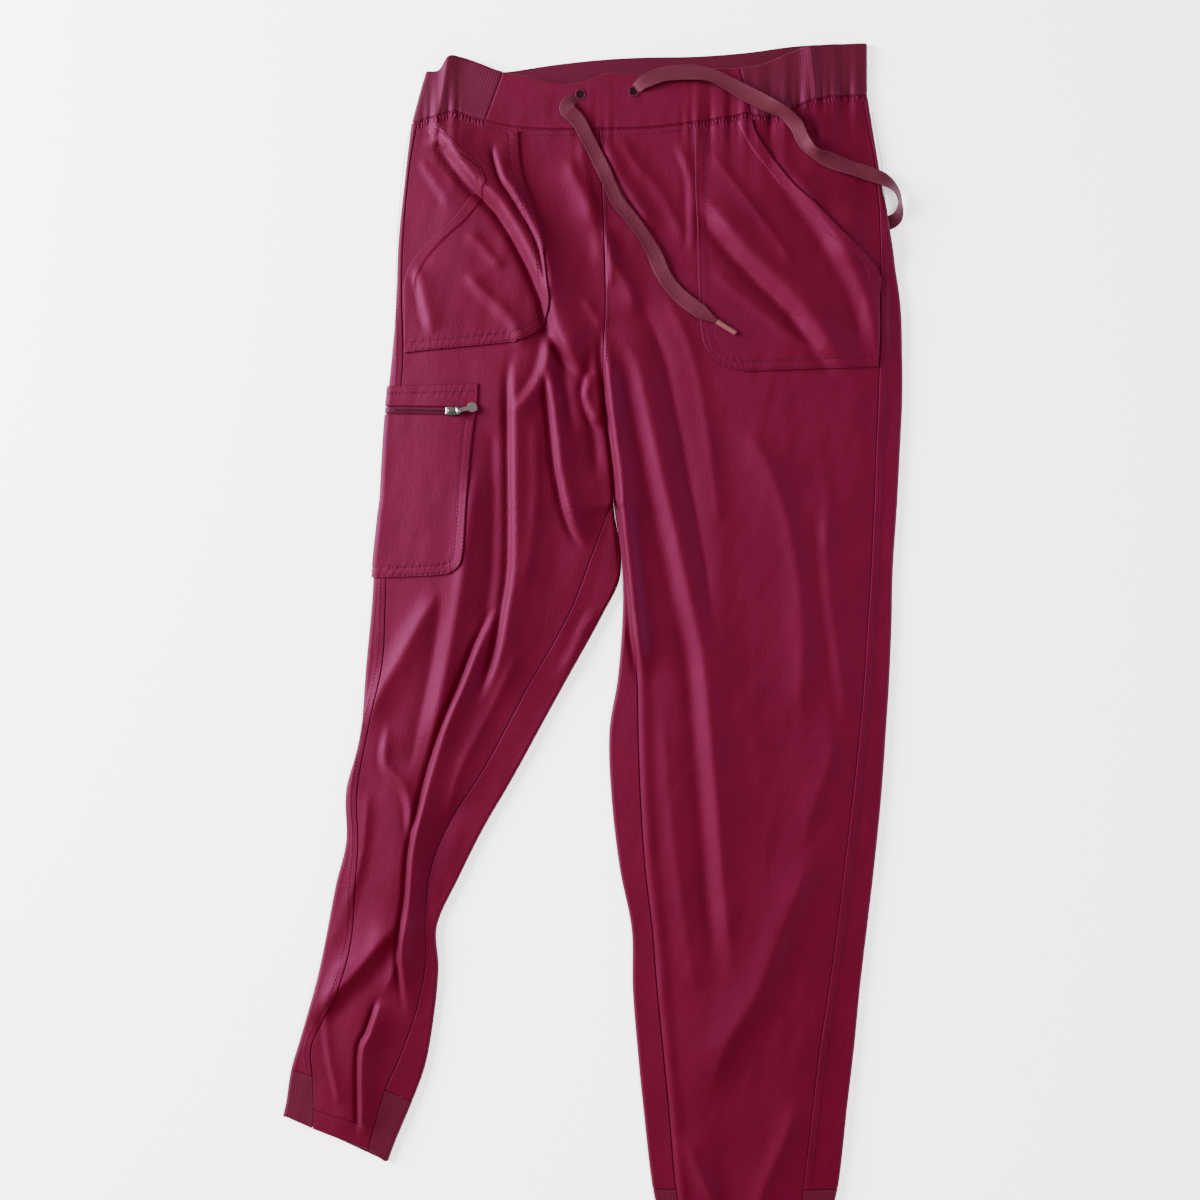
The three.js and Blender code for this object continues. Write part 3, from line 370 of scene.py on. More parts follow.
# Sampling: distances from a sheet's edge, lengths of a row of the tables and of both bands,
# steps across the grids, columns round the rib band's edges, steps of the search for a row,
# and the smallest differences that count
ROUND_SAMPLES = (0.12, 0.35, 0.7)
ROW_LONG = 48
BAND_ROW = 15
CUFF_ROW = 25
BAND_STEP = 2.7
FRONT_STEP = 1.8
BACK_STEP = 1.6
CUFF_STEP = 0.45
RIB_ROLL_STEPS = 24
HALVINGS = 22
SLOPE_STEP = 0.5
SAME = 1e-6
TINY = 1e-12

# Sewing: the side seam's turned allowance, rows beside the seams, lifts of the rows on a patch,
# on its thicker hem and on the allowance, and form of a stitch
ALLOWANCE = 0.38
ALLOWANCE_PAST = 0.9
ALLOWANCE_EDGE = 1.3
SEAM_ROW = 5.0
WAIST_ROW = 5.2
CENTRE_ROW = 2.4
OPENING_ROWS = (1.8, HEM_WIDE - 1.6)
PATCH_ROW_LIFT = PATCH_HIGH - 0.12
HEM_ROW_LIFT = PATCH_HIGH + 0.4
FLAP_ROW_LIFT = PATCH_HIGH - 0.05
STRIP_ROW_LIFT = CLOTH / 2 + 0.36
THREAD_RADIUS = 0.3
STITCH_SHARE = 0.7
STITCH_DIVE = 0.25
STITCH_ARCH = 0.2

# Waist seam: its two ends, where it is gathered, and size of the gathers
WAIST_ENDS = (-151, 231)
GATHERED = ((-148, -92), (84, 231))
TICK_PITCH = 2.7
TICK_REACH = 6.4
TICK_RADIUS = 0.75

# Buttonholes of the front band: their centres, half width and half height of both, and the
# places, the bluntness and the threads of a rim
BUTTONHOLES = ((-10.2, 467.8), (35.2, 470.6))
HOLE_HALF = (3.7, 3.9)
RIM_PLACES = 200
RIM_BLUNT = 0.7
RIM_THREADS = 40

# Scales of the wave nodes: bands come 0.314 mm / scale apart, so 1.1, 0.9 and 1.6 mm
TWILL_WAVES = 0.9 / 3.1
KNIT_WAVES = 1.1 / 3.1
BRAID_WAVES = 0.62 / 3.1

# Stage: the table in millimetres, and in metres the cloth's level and the lights, each with
# its name, place, side, share of the key light's power, glossy reflection and colour
TABLE_HALF = 4000
TABLE_DROP = 0.05
CLOTH_LEVEL = 0.006
ROOM_LIGHT = 0.24
LIGHTS = (
    ("window_key", (-2.1, 0.7, 0.95), 1.3, 1.0, True, "#ffffff"),
    ("far_window", (2.5, 0.1, 0.5), 1.0, 0.2, True, "#f6c2ff"),
    ("foot_fill", (0.3, -2.4, 1.3), 1.4, 0.24, False, "#ffffff"),
    ("ceiling", (0.5, 0.3, 2.6), 2.2, 0.34, False, "#ffffff"),
)

COLOURS = {
    "cloth": "#290002",
    "cloth_light": "#320105",
    "cloth_bloom": "#e860c8",
    "cloth_gloss": "#f06cd2",
    "rib": "#2d070a",
    "rib_dark": "#250507",
    "knit_bloom": "#e070b8",
    "knit_gloss": "#f060d0",
    "tape": "#300b10",
    "tape_dark": "#1d0609",
    "tape_bloom": "#e080b8",
    "tape_gloss": "#f0a0d0",
    "thread": "#220206",
    "zip": "#26090f",
    # Painted shade: the near black of the plate that stands for a buttonhole's opening
    "slot": "#0c0204",
    "aglet": "#4a2426",
    "nickel": "#aba7a1",
    "slider": "#6f6a66",
    "floor": "#fbfafa",
    "room": "#f3f2f5",
}

UP = np.array([0.0, 0, 1])
# A direction that no bar of the zip runs along
ASKEW = np.array([1.0, 0.2, 0.1])


def mix(a, b, t):
    """A value between a and b: a where t is 0, b where it is 1."""
    return a + (b - a) * t


def unit(vectors):
    """Vectors brought to the length 1."""
    return vectors / np.maximum(np.linalg.norm(vectors, axis=-1, keepdims=True), TINY)


def smooth(t):
    """Rises from 0 to 1 as t does, with level ends: three t squared less two t cubed."""
    k = np.clip(t, 0, 1)
    return k * k * (3 - 2 * k)


def spline(values, t, corner=-1):
    """A Catmull-Rom curve through a column of values at 0, 1, 2 and so on, read at the array
    t, and straightened at both ends and at a corner row."""
    column = np.asarray(values, float)
    last = len(column) - 1
    i = np.clip(np.floor(t).astype(int), 0, last - 1)
    f = t - i
    b, c = column[i], column[i + 1]
    a = np.where((i == 0) | (i == corner), 2 * b - c, column[np.maximum(i - 1, 0)])
    d = np.where((i + 2 > last) | (i + 1 == corner), 2 * c - b, column[np.minimum(i + 2, last)])
    return b + 0.5 * f * (c - a + f * (2 * a - 5 * b + 4 * c - d + f * (3 * (b - c) + d - a)))


def columns_at(rows, names, t, corner=-1):
    """Every named column of a table, read at t as spline does."""
    table = np.asarray(rows, float)
    return {name: spline(table[:, k], t, corner) for k, name in enumerate(names)}


def curve_at(places, x):
    """A smooth line through [x, y] places read at x: cubic pieces whose slopes at the places
    are the means of the straight slopes on both sides."""
    px, py = np.asarray(places, float).T
    slope = np.diff(py) / np.diff(px)
    at_place = np.concatenate([slope[:1], (slope[:-1] + slope[1:]) / 2, slope[-1:]])
    k = np.clip(np.searchsorted(px, x) - 1, 0, len(px) - 2)
    wide = px[k + 1] - px[k]
    f = np.clip((x - px[k]) / wide, 0, 1)
    first = py[k] * (1 + 2 * f) * (1 - f) ** 2 + at_place[k] * wide * f * (1 - f) ** 2
    return first + py[k + 1] * f * f * (3 - 2 * f) + at_place[k + 1] * wide * f * f * (f - 1)


def route_line(route, steps=6):
    """Places along the smooth curve through a fold's route."""
    t = np.arange((len(route) - 1) * steps + 1) / steps
    table = np.asarray(route, float)
    return np.stack([spline(table[:, 0], t), spline(table[:, 1], t)], axis=1)


def nearest_on(line, x, y):
    """For places x, y: how far they lie from a line, on which side, how far along it, and the
    line's length. Each straight piece of the line is tried for all places at once."""
    away = np.full(x.shape, np.inf)
    side = np.zeros(x.shape)
    at = np.zeros(x.shape)
    run = 0.0
    for (ax, ay), (bx, by) in zip(line[:-1], line[1:]):
        dx, dy = bx - ax, by - ay
        long = math.hypot(dx, dy)
        t = np.clip(((x - ax) * dx + (y - ay) * dy) / (long * long), 0, 1)
        gap = np.hypot(x - ax - t * dx, y - ay - t * dy)
        closer = gap < away
        away = np.where(closer, gap, away)
        side = np.where(closer, np.sign(dx * (y - ay) - dy * (x - ax)), side)
        at = np.where(closer, run + t * long, at)
        run += long
    return away, side, at, run


def fold_sum(x, y, folds):
    """Sum of folds: each is a bell across its route, steeper on the leaning side, where a
    shallow trough runs along its foot, and fades towards both ends."""
    total = np.zeros(x.shape)
    for rise, spread, slant, fade, route in folds:
        line = route_line(route)
        lean = np.clip(slant * STEEPER, -STEEPEST, STEEPEST)
        wide = spread * (SLIM if rise > 0 else 1)
        reach = 3 * wide * (1 + abs(lean))
        near = (x > line[:, 0].min() - reach) & (x < line[:, 0].max() + reach)
        near &= (y > line[:, 1].min() - reach) & (y < line[:, 1].max() + reach)
        away, side, at, run = nearest_on(line, x[near], y[near])
        ends = smooth(at / fade) * smooth((run - at) / fade)
        q = away / (wide * (1 - lean * side))
        undercut = UNDERCUT * max(abs(lean) - 0.2, 0) * (lean * side > 0)
        crest = np.exp(-((q * q + PINCH) ** 0.65 - PINCH ** 0.65))
        total[near] += rise * ends * (crest - undercut * q * q * np.exp(-(q - 1.2) ** 2))
    return total


def gather_sum(x, y, gathers, reach):
    """Sum of gathers: sine waves across each stretch that die away from the waist seam."""
    drop = np.exp(-np.abs(curve_at(WAIST_SEAM, x) - y) / reach)
    total = np.zeros(x.shape)
    for start, end, pitch, rise in gathers:
        inside = smooth((x - start) / 6) * smooth((end - x) / 6)
        total += rise * drop * inside * np.sin(2 * math.pi * (x - start) / pitch)
    return total


def soft_noise(x, y, wide, long, angle, seed):
    """Smooth seeded noise between -1 and 1 with cells of the given width and length, turned
    by an angle in degrees: a lattice of random values joined by smooth steps."""
    turn = math.radians(angle)
    u = (x * math.cos(turn) + y * math.sin(turn)) / wide + 40
    v = (y * math.cos(turn) - x * math.sin(turn)) / long + 40
    lattice = np.random.default_rng(seed).uniform(-1, 1, (256, 256))
    i, j = np.floor(u).astype(int) % 255, np.floor(v).astype(int) % 255
    fu, fv = smooth(u - np.floor(u)), smooth(v - np.floor(v))
    low = mix(lattice[i, j], lattice[i + 1, j], fu)
    return mix(low, mix(lattice[i, j + 1], lattice[i + 1, j + 1], fu), fv)


def lift_at(x, y):
    """How far the left hip is raised at places x, y."""
    across = 1 - smooth((np.abs(LIFT_X[0] - x) - LIFT_X[1]) / LIFT_X[2])
    along = 1 - smooth((np.abs(LIFT_Y[0] - y) - LIFT_Y[1]) / LIFT_Y[2])
    return LIFT_RISE * across * along


def top_height(x, y, from_outer, from_inner):
    """Middle of the upper layer: a crown between the folded edges, plus the main folds, the
    small creases, the gathers and a little seeded unevenness, never below the lower layer."""
    crown = CROWN * smooth(from_outer / CROWN_REACH) * smooth(from_inner / CROWN_REACH)
    height = EDGE_HEIGHT + crown + fold_sum(x, y, FOLDS) + fold_sum(x, y, CREASES)
    height += gather_sum(x, y, GATHERS, GATHER_REACH)
    height += gather_sum(x, y, FINE_GATHERS, FINE_GATHER_REACH)
    height += sum(rise * soft_noise(x, y, *cells) for rise, *cells in UNEVEN)
    raised = height - LOWEST
    return LOWEST + 0.5 * (raised + np.sqrt(raised * raised + 1)) + lift_at(x, y)


class Leg:
    """One leg of the frame: its table, and places on its upper and lower layers."""

    def __init__(self, rows, inward):
        self.rows = rows
        self.inward = inward

    def columns(self, t):
        """The leg's columns, read at rows t."""
        return columns_at(self.rows, LEG_COLUMNS, t, CROTCH_ROW)

    def wrap(self, t):
        """0 above the crotch, and 1 where the back panel wraps round the inner edge too."""
        return smooth((t - CROTCH_ROW) / (WRAPPED_ROW - CROTCH_ROW))

    def outer_roll(self, r):
        """How far the cloth rolls past the outer edge, for columns r."""
        return np.minimum(OUTER_ROLL, 0.5 * np.abs(r["edge_x"] - r["side_x"]))

    def height(self, r, t, x, y):
        """Height of the upper layer at places x, y of rows t, whose columns are r."""
        from_inner = np.abs(x - r["inner_x"]) + (1 - self.wrap(t)) * CROWN_REACH
        return top_height(x, y, np.abs(x - r["edge_x"]), from_inner)

    def y_across(self, r, x):
        """Straight lines between the row's four stops, read at x."""
        stops = ("edge", "side", "front", "inner")
        y = np.broadcast_to(r["edge_y"], x.shape).copy()
        for a, b in zip(stops[:-1], stops[1:]):
            span = r[f"{b}_x"] - r[f"{a}_x"]
            f = np.clip((x - r[f"{a}_x"]) / span, 0, 1)
            y = y + (r[f"{b}_y"] - r[f"{a}_y"]) * f
        return y

    def top(self, t, x):
        """Places on the upper layer, for rows t (down the grid) and places x across."""
        r = self.columns(t)
        first = self.columns(np.zeros_like(t))
        y = self.y_across(r, x)
        line = curve_at(WAIST_SEAM, x) - WAIST_GAP
        y = y + (1 - smooth(t)) * (line - self.y_across(first, x))
        z = self.height(r, t, x, y)
        if self.inward < 0:
            rise, wide, inset = SEAM_ROLL
            off = x - r["front_x"] - inset
            z = z + rise * self.wrap(t) * np.exp(-((off / np.where(off > 0, wide, wide / 2)) ** 2))
        return np.stack([x, y, z], axis=-1)

    def under(self, t, x):
        """Places on the lower layer, flat on the table but over the drawstring's end."""
        r = self.columns(t)
        y = mix(r["edge_y"], r["inner_y"], (x - r["edge_x"]) / (r["inner_x"] - r["edge_x"]))
        return np.stack([x, y, CLOTH / 2 + lift_at(x, y)], axis=-1)


RIGHT_LEG = Leg(RIGHT_ROWS, 1)
LEFT_LEG = Leg(LEFT_ROWS, -1)
LEGS = (("right", RIGHT_LEG), ("left", LEFT_LEG))


def steps_across(length, step, extra=()):
    """Fractions from 0 to 1 about one step apart, with closer ones at both rounded ends and
    at the extra distances from the start."""
    inner = np.linspace(0, 1, max(int(round(length / step)), 2) + 1)
    ends = np.array(ROUND_SAMPLES) / length
    return np.unique(np.concatenate([inner, ends, 1 - ends, np.array(extra) / length]))


def rows_between(start, end, per_row=17, row_length=ROW_LONG):
    """Row numbers from start to end, with closer ones at both rounded ends."""
    inner = np.linspace(start, end, int(round((end - start) * per_row)) + 1)
    ends = np.array(ROUND_SAMPLES) / row_length
    return np.unique(np.concatenate([inner, start + ends, end - ends]))[:, None]


def front_grid(leg, t, step):
    """The front panel or its band, from the side seam to the inner seam."""
    r = leg.columns(t)
    start = r["side_x"] + leg.inward * SEAM / 2
    end = r["front_x"] - leg.inward * INNER_SEAM_GAP
    across = steps_across(float(np.abs(end - start).mean()), step)
    return leg.top(t, mix(start, end, across[None, :]))


def roll_grid(x, reach, start, end, steps):
    """Half an oval round a folded edge, from start to end, without the first column."""
    angle = math.pi * np.arange(1, steps + 1) / steps
    turned = ((1 - np.cos(angle)) / 2)[None, :, None]
    grid = start[:, None, :] + (end - start)[:, None, :] * turned
    grid[..., 0] = x + reach * np.sin(angle)[None, :]
    return grid


def back_grid(leg, t, step, roll_steps=10, under_step=8.0):
    """The back panel or its cuff: from the side seam on top, round the outer edge, under the
    leg and round the inner edge up to the inseam."""
    r = leg.columns(t)
    wrap = leg.wrap(t)
    outer_roll = leg.outer_roll(r)
    free = np.minimum(INNER_ROLL, 0.35 * np.abs(r["front_x"] - r["inner_x"]))
    inner_roll = mix(LIP_ROLL, free, wrap)
    outer = r["edge_x"] + leg.inward * (CLOTH / 2 + outer_roll)
    inner = r["inner_x"] - leg.inward * ((CLOTH + SEAM) / 2 + inner_roll)
    seam = r["side_x"] - leg.inward * SEAM / 2
    end = mix(inner - leg.inward * LIP_REACH, r["front_x"] + leg.inward * SEAM / 2, wrap)

    def lip(x):
        """The turned-in edge: the upper layer below the crotch, and above it a low lip."""
        on_top = leg.top(t, x)
        flat = leg.under(t, x)
        y = mix(flat[..., 1], on_top[..., 1], wrap)
        return np.stack([x, y, mix(LIP_HEIGHT, on_top[..., 2], wrap)], axis=-1)

    strip = steps_across(float(np.abs(outer - seam).mean()), step)
    under = np.unique(np.concatenate([np.linspace(0, 1, int(230 / under_step)), [0.01, 0.99]]))
    turned_in = steps_across(float(np.abs(end - inner).mean()), step)
    top = leg.top(t, mix(seam, outer, strip[None, :]))
    below = leg.under(t, mix(outer, inner, under[None, :]))
    inside = lip(mix(inner, end, turned_in[None, :]))
    reach = -leg.inward * outer_roll
    outside = roll_grid(outer, reach, top[:, -1], below[:, 0], roll_steps)
    inner_turn = roll_grid(inner, leg.inward * inner_roll, below[:, -1], inside[:, 0], roll_steps)
    return np.concatenate([top, outside, below[:, 1:], inner_turn, inside[:, 1:]], axis=1)


def grid_normals(grid, upper, rest):
    """The way each place faces: across the grid's two directions, turned so that the column
    upper faces up, and straight down where the cloth rests on the table."""
    across = np.gradient(grid, axis=1)
    along = np.gradient(grid, axis=0)
    normal = unit(np.cross(across, along))
    normal *= np.sign(normal[len(grid) // 2, upper, 2])
    normal[np.abs(grid[..., 2] - rest) < SAME] = (0, 0, -1)
    return normal


def arcs(grid):
    """Distances across and along the grid's surface from its first column and row."""
    across = np.linalg.norm(np.diff(grid, axis=1), axis=2).cumsum(axis=1)
    along = np.linalg.norm(np.diff(grid, axis=0), axis=2).cumsum(axis=0)
    u = np.pad(across, ((0, 0), (1, 0)))
    v = np.pad(along, ((1, 0), (0, 0)))
    return u, v


def make_mesh(name, places, quads, uv=None):
    """A mesh in metres from places in millimetres, with a UV map in metres."""
    mesh = bpy.data.meshes.new(name)
    mesh.from_pydata([], [], [])
    mesh.vertices.add(len(places))
    mesh.vertices.foreach_set("co", (np.asarray(places) * MM).astype(np.float32).ravel())
    mesh.loops.add(quads.size)
    mesh.loops.foreach_set("vertex_index", quads.astype(np.int32).ravel())
    mesh.polygons.add(len(quads))
    starts = np.arange(0, quads.size, quads.shape[1], dtype=np.int32)
    mesh.polygons.foreach_set("loop_start", starts)
    if uv is not None:
        layer = mesh.uv_layers.new(name="surface")
        layer.data.foreach_set("uv", (uv[quads.ravel()] * MM).astype(np.float32).ravel())
    mesh.update(calc_edges=True)
    mesh.validate()
    mesh.polygons.foreach_set("use_smooth", np.ones(len(mesh.polygons), dtype=bool))
    piece = bpy.data.objects.new(name, mesh)
    bpy.context.collection.objects.link(piece)
    return piece


def outward(places, quads):
    """The quads of a closed surface, turned round where they enclose a volume below 0."""
    a, b, c, d = (places[quads[:, k]] for k in range(4))
    volume = (np.cross(a, b) * c).sum() + (np.cross(a, c) * d).sum()
    return quads[:, ::-1] if volume < 0 else quads


def wall(name, grid, low, high, upper=0, raised=None, rounding=True):
    """A closed wall between two layers of a grid, moved out by low and high along its
    normals. raised is added to the outer layer. Near the grid's border both layers bend
    together by a quarter circle, so that the cloth's edge is round."""
    rows, columns = grid.shape[:2]
    normal = grid_normals(grid, upper, high)
    u, v = arcs(grid)
    radius = (high - low) / 2
    inset = np.minimum.reduce([u, u[:, -1:] - u, v, v[-1:, :] - v])
    bend = radius - np.sqrt(np.maximum(radius ** 2 - np.maximum(radius - inset, 0) ** 2, 0))
    bend = np.minimum(bend, 0.85 * radius) if rounding else np.zeros_like(bend)
    top_offset = high - bend + (0 if raised is None else raised)
    outer = grid + normal * top_offset[..., None]
    inner = grid + normal * (low + bend)[..., None]
    places = np.concatenate([outer.reshape(-1, 3), inner.reshape(-1, 3)])
    places[:, 2] = np.maximum(places[:, 2], 0)
    index = np.arange(rows * columns).reshape(rows, columns)
    under = index + rows * columns
    face = [index[:-1, :-1], index[:-1, 1:], index[1:, 1:], index[1:, :-1]]
    back = [under[:-1, :-1], under[1:, :-1], under[1:, 1:], under[:-1, 1:]]
    sides = [
        (index[1:, 0], under[1:, 0], under[:-1, 0], index[:-1, 0]),
        (index[:-1, -1], under[:-1, -1], under[1:, -1], index[1:, -1]),
        (index[0, :-1], under[0, :-1], under[0, 1:], index[0, 1:]),
        (index[-1, 1:], under[-1, 1:], under[-1, :-1], index[-1, :-1]),
    ]
    quads = np.concatenate([np.stack([part.ravel() for part in group], axis=1)
                            for group in (face, back, *sides)])
    flat = np.stack([u.ravel(), v.ravel()], axis=1)
    return make_mesh(name, places, outward(places, quads), np.concatenate([flat, flat]))


def declare_sheet(grid):
    u, v = arcs(grid)


def linear(hex_colour):
    """Turns an sRGB hex colour such as #7a1f2e to a linear one."""
    parts = np.array([int(hex_colour[k:k + 2], 16) / 255 for k in (1, 3, 5)])
    return tuple(np.where(parts <= 0.04045, parts / 12.92, ((parts + 0.055) / 1.055) ** 2.4))


def add_node(tree, kind, settings=None, links=None):
    """Adds a node, sets its properties and sockets by name, and links its inputs."""
    node = tree.nodes.new(kind)
    for key, value in (settings or {}).items():
        if hasattr(node, key):
            setattr(node, key, value)
        else:
            node.inputs[key].default_value = value
    for key, source in (links or {}).items():
        tree.links.new(source, node.inputs[key])
    return node


def new_material(name, colour, roughness, **sockets):
    """A material with one Principled shader whose uniform values sit on its own sockets."""
    material = bpy.data.materials.new(name)
    material.use_nodes = True
    shader = material.node_tree.nodes["Principled BSDF"]
    shader.inputs["Base Color"].default_value = (*colour, 1)
    shader.inputs["Roughness"].default_value = roughness
    for key, value in sockets.items():
        shader.inputs[key.replace("_", " ")].default_value = value
    return material, material.node_tree, shader


def surface_uv(tree, turn=0.0, stretch=1.0):
    """The piece's own UV map, counted in millimetres, turned by an angle; a pattern is longer
    down the piece where stretch is above 1."""
    uv = add_node(tree, "ShaderNodeUVMap", {"uv_map": "surface"})
    return add_node(tree, "ShaderNodeMapping", {
        "Scale": (1000.0, 1000.0 / stretch, 1000.0), "Rotation": (0, 0, math.radians(turn)),
    }, {"Vector": uv.outputs["UV"]}).outputs["Vector"]


def tinted(tree, shader, light, dark, factor):
    """Base colour between two colours by a factor socket."""
    ramp = add_node(tree, "ShaderNodeMix", {"data_type": "RGBA"})
    ramp.inputs[6].default_value = (*dark, 1)
    ramp.inputs[7].default_value = (*light, 1)
    tree.links.new(factor, ramp.inputs[0])
    tree.links.new(ramp.outputs[2], shader.inputs["Base Color"])


def twill_material(name, colours):
    """Smooth polyester twill, piece dyed: a soft satin gloss with a pink bloom on the slopes, a
    fine diagonal rib, slubs along the threads, slow clouds of shade and a broad crumple. The
    rib is drawn 1.1 mm apart, twice the real one, so that it shows."""
    material, tree, shader = new_material(
        name, linear(colours["cloth"]), 0.68, IOR=1.5, Sheen_Weight=0.02, Sheen_Roughness=0.5,
        Sheen_Tint=(*linear(colours["cloth_bloom"]), 1), Specular_IOR_Level=0.33,
        Specular_Tint=(*linear(colours["cloth_gloss"]), 1))
    vector = surface_uv(tree, turn=38)
    rib = add_node(tree, "ShaderNodeTexWave", {
        "wave_type": "BANDS", "bands_direction": "X", "Scale": TWILL_WAVES, "Distortion": 0.6,
        "Detail": 1.0, "Detail Scale": 0.4,
    }, {"Vector": vector})
    slub = add_node(tree, "ShaderNodeTexNoise", {"Scale": 0.5, "Detail": 4.0},
                    {"Vector": surface_uv(tree, stretch=3.5)})
    cloud = add_node(tree, "ShaderNodeTexNoise", {"Scale": 0.02, "Detail": 3.0},
                     {"Vector": surface_uv(tree)})
    blend = add_node(tree, "ShaderNodeMath", {"operation": "MULTIPLY_ADD"},
                     {0: slub.outputs["Fac"], 2: cloud.outputs["Fac"]})
    blend.inputs[1].default_value = 0.45
    shift = add_node(tree, "ShaderNodeMath", {"operation": "SUBTRACT", "use_clamp": True},
                     {0: blend.outputs[0]})
    shift.inputs[1].default_value = 0.25
    tinted(tree, shader, linear(colours["cloth_light"]), linear(colours["cloth"]), shift.outputs[0])
    crumple = add_node(tree, "ShaderNodeTexNoise", {"Scale": 0.085, "Detail": 3.0, "Distortion": 0.6},
                       {"Vector": surface_uv(tree, turn=-20)})
    grain = add_node(tree, "ShaderNodeBump", {"Strength": 0.14, "Distance": 0.00014},
                     {"Height": rib.outputs["Fac"]})
    relief = add_node(tree, "ShaderNodeBump", {"Strength": 0.3, "Distance": 0.0006},
                      {"Height": slub.outputs["Fac"], "Normal": grain.outputs["Normal"]})
    broad = add_node(tree, "ShaderNodeBump", {"Strength": 0.13, "Distance": 0.002},
                     {"Height": crumple.outputs["Fac"], "Normal": relief.outputs["Normal"]})
    tree.links.new(broad.outputs["Normal"], shader.inputs["Normal"])
    return material


def knit_material(name, light, dark, roughness=0.64):
    """Matt spun yarn, knitted, woven or sewn: a weak gloss, a dusty bloom, and loops drawn
    0.9 mm apart."""
    material, tree, shader = new_material(
        name, linear(light), roughness, Sheen_Weight=0.06, Sheen_Roughness=0.5,
        Sheen_Tint=(*linear(COLOURS["knit_bloom"]), 1), Specular_IOR_Level=0.26,
        Specular_Tint=(*linear(COLOURS["knit_gloss"]), 1))
    vector = surface_uv(tree)
    loops = add_node(tree, "ShaderNodeTexWave", {
        "wave_type": "BANDS", "bands_direction": "Y", "Scale": KNIT_WAVES, "Distortion": 1.5,
        "Detail": 2.0,
    }, {"Vector": vector})
    fuzz = add_node(tree, "ShaderNodeTexNoise", {"Scale": 0.8, "Detail": 4.0}, {"Vector": vector})
    tinted(tree, shader, linear(light), linear(dark), fuzz.outputs["Fac"])
    relief = add_node(tree, "ShaderNodeBump", {"Strength": 0.2, "Distance": 0.0002},
                      {"Height": loops.outputs["Fac"]})
    tree.links.new(relief.outputs["Normal"], shader.inputs["Normal"])
    return material


def tape_material(name, light, dark):
    """Flat braided polyester tape: matt, with a herringbone of strands 1.6 mm wide."""
    material, tree, shader = new_material(
        name, linear(light), 0.62, Sheen_Weight=0.06, Specular_IOR_Level=0.25,
        Sheen_Tint=(*linear(COLOURS["tape_bloom"]), 1),
        Specular_Tint=(*linear(COLOURS["tape_gloss"]), 1))
    left, right = (add_node(tree, "ShaderNodeTexWave", {"Scale": BRAID_WAVES},
                            {"Vector": surface_uv(tree, turn=turn)}) for turn in (35, -35))
    braid = add_node(tree, "ShaderNodeMath", {"operation": "MAXIMUM"},
                     {0: left.outputs["Fac"], 1: right.outputs["Fac"]})
    tinted(tree, shader, linear(light), linear(dark), braid.outputs[0])
    relief = add_node(tree, "ShaderNodeBump", {"Strength": 0.5, "Distance": 0.0004},
                      {"Height": braid.outputs[0]})
    tree.links.new(relief.outputs["Normal"], shader.inputs["Normal"])
    return material


def nickel_material(name, colour):
    """Nickel-plated zinc, die cast and tumbled: a bright metal with fine wear."""
    material, tree, shader = new_material(name, linear(colour), 0.28, Metallic=1.0)
    place = add_node(tree, "ShaderNodeTexCoord").outputs["Object"]
    wear = add_node(tree, "ShaderNodeTexNoise", {"Scale": 900.0, "Detail": 3.0}, {"Vector": place})
    rough = add_node(tree, "ShaderNodeMapRange", {"To Min": 0.3, "To Max": 0.5},
                     {"Value": wear.outputs["Fac"]})
    tree.links.new(rough.outputs["Result"], shader.inputs["Roughness"])
    return material


def plastic_material(name, colour):
    """Acetate film rolled and melted round the tape's end: a hard satin shell."""
    material, tree, shader = new_material(name, linear(colour), 0.33, Coat_Weight=0.3)
    place = add_node(tree, "ShaderNodeTexCoord").outputs["Object"]
    ripple = add_node(tree, "ShaderNodeTexNoise", {"Scale": 350.0}, {"Vector": place})
    relief = add_node(tree, "ShaderNodeBump", {"Strength": 0.2, "Distance": 0.0002},
                      {"Height": ripple.outputs["Fac"]})
    tree.links.new(relief.outputs["Normal"], shader.inputs["Normal"])
    return material


def floor_material(name, colour, level=0.5):
    """A matt surface of one colour: the painted table top, and the plate in a buttonhole,
    whose near black is painted shade standing for the deep opening, and which hardly reflects."""
    return new_material(name, linear(colour), 0.9, Specular_IOR_Level=level)[0]


materials = {}


def finish_piece(piece, material, node, body=GARMENT):
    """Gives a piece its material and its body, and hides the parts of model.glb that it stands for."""
    piece.data.materials.clear()
    piece.data.materials.append(materials[material])
    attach(piece, body)
    if node:
        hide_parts(*([node] if isinstance(node, str) else node))


def cloth_piece(name, grid, node, low=-CLOTH / 2, high=CLOTH / 2, material="cloth",
                slot="cloth", rests_on=(), **options):
    """A finished sheet of cloth from its middle layer; the options are those of wall."""
    piece = wall(name, grid, low, high, **options)
    finish_piece(piece, material, node)
    declare_sheet(grid)


def solid_piece(name, places, quads, material, node, body=GARMENT, uv=None):
    """A finished piece that isn't a sheet of cloth, from its places and quads."""
    piece = make_mesh(name, places, quads, uv)
    finish_piece(piece, material, node, body)
    return piece


class GarmentSettings(PropertyGroup):
    """Sizes of the knit and the sewing that a user may change."""

    rib_pitch: FloatProperty(
        name="Rib pitch", description="Distance between two ribs of the knit, in millimetres",
        default=2.4, min=1.5, max=6)
    rib_rise: FloatProperty(
        name="Rib rise", description="Height of a rib of the knit, in millimetres",
        default=0.13, min=0, max=1)
    stitch_pitch: FloatProperty(
        name="Stitch pitch", description="Distance between two stitches, in millimetres",
        default=3.2, min=2, max=6)


class StageSettings(PropertyGroup):
    """Camera and light."""

    field: FloatProperty(name="Field of view", description="Angle that the camera sees",
                         subtype="ANGLE", default=math.radians(45))
    key_power: FloatProperty(name="Key light", description="Power of the main soft light",
                             default=440.0, min=0, unit="POWER")


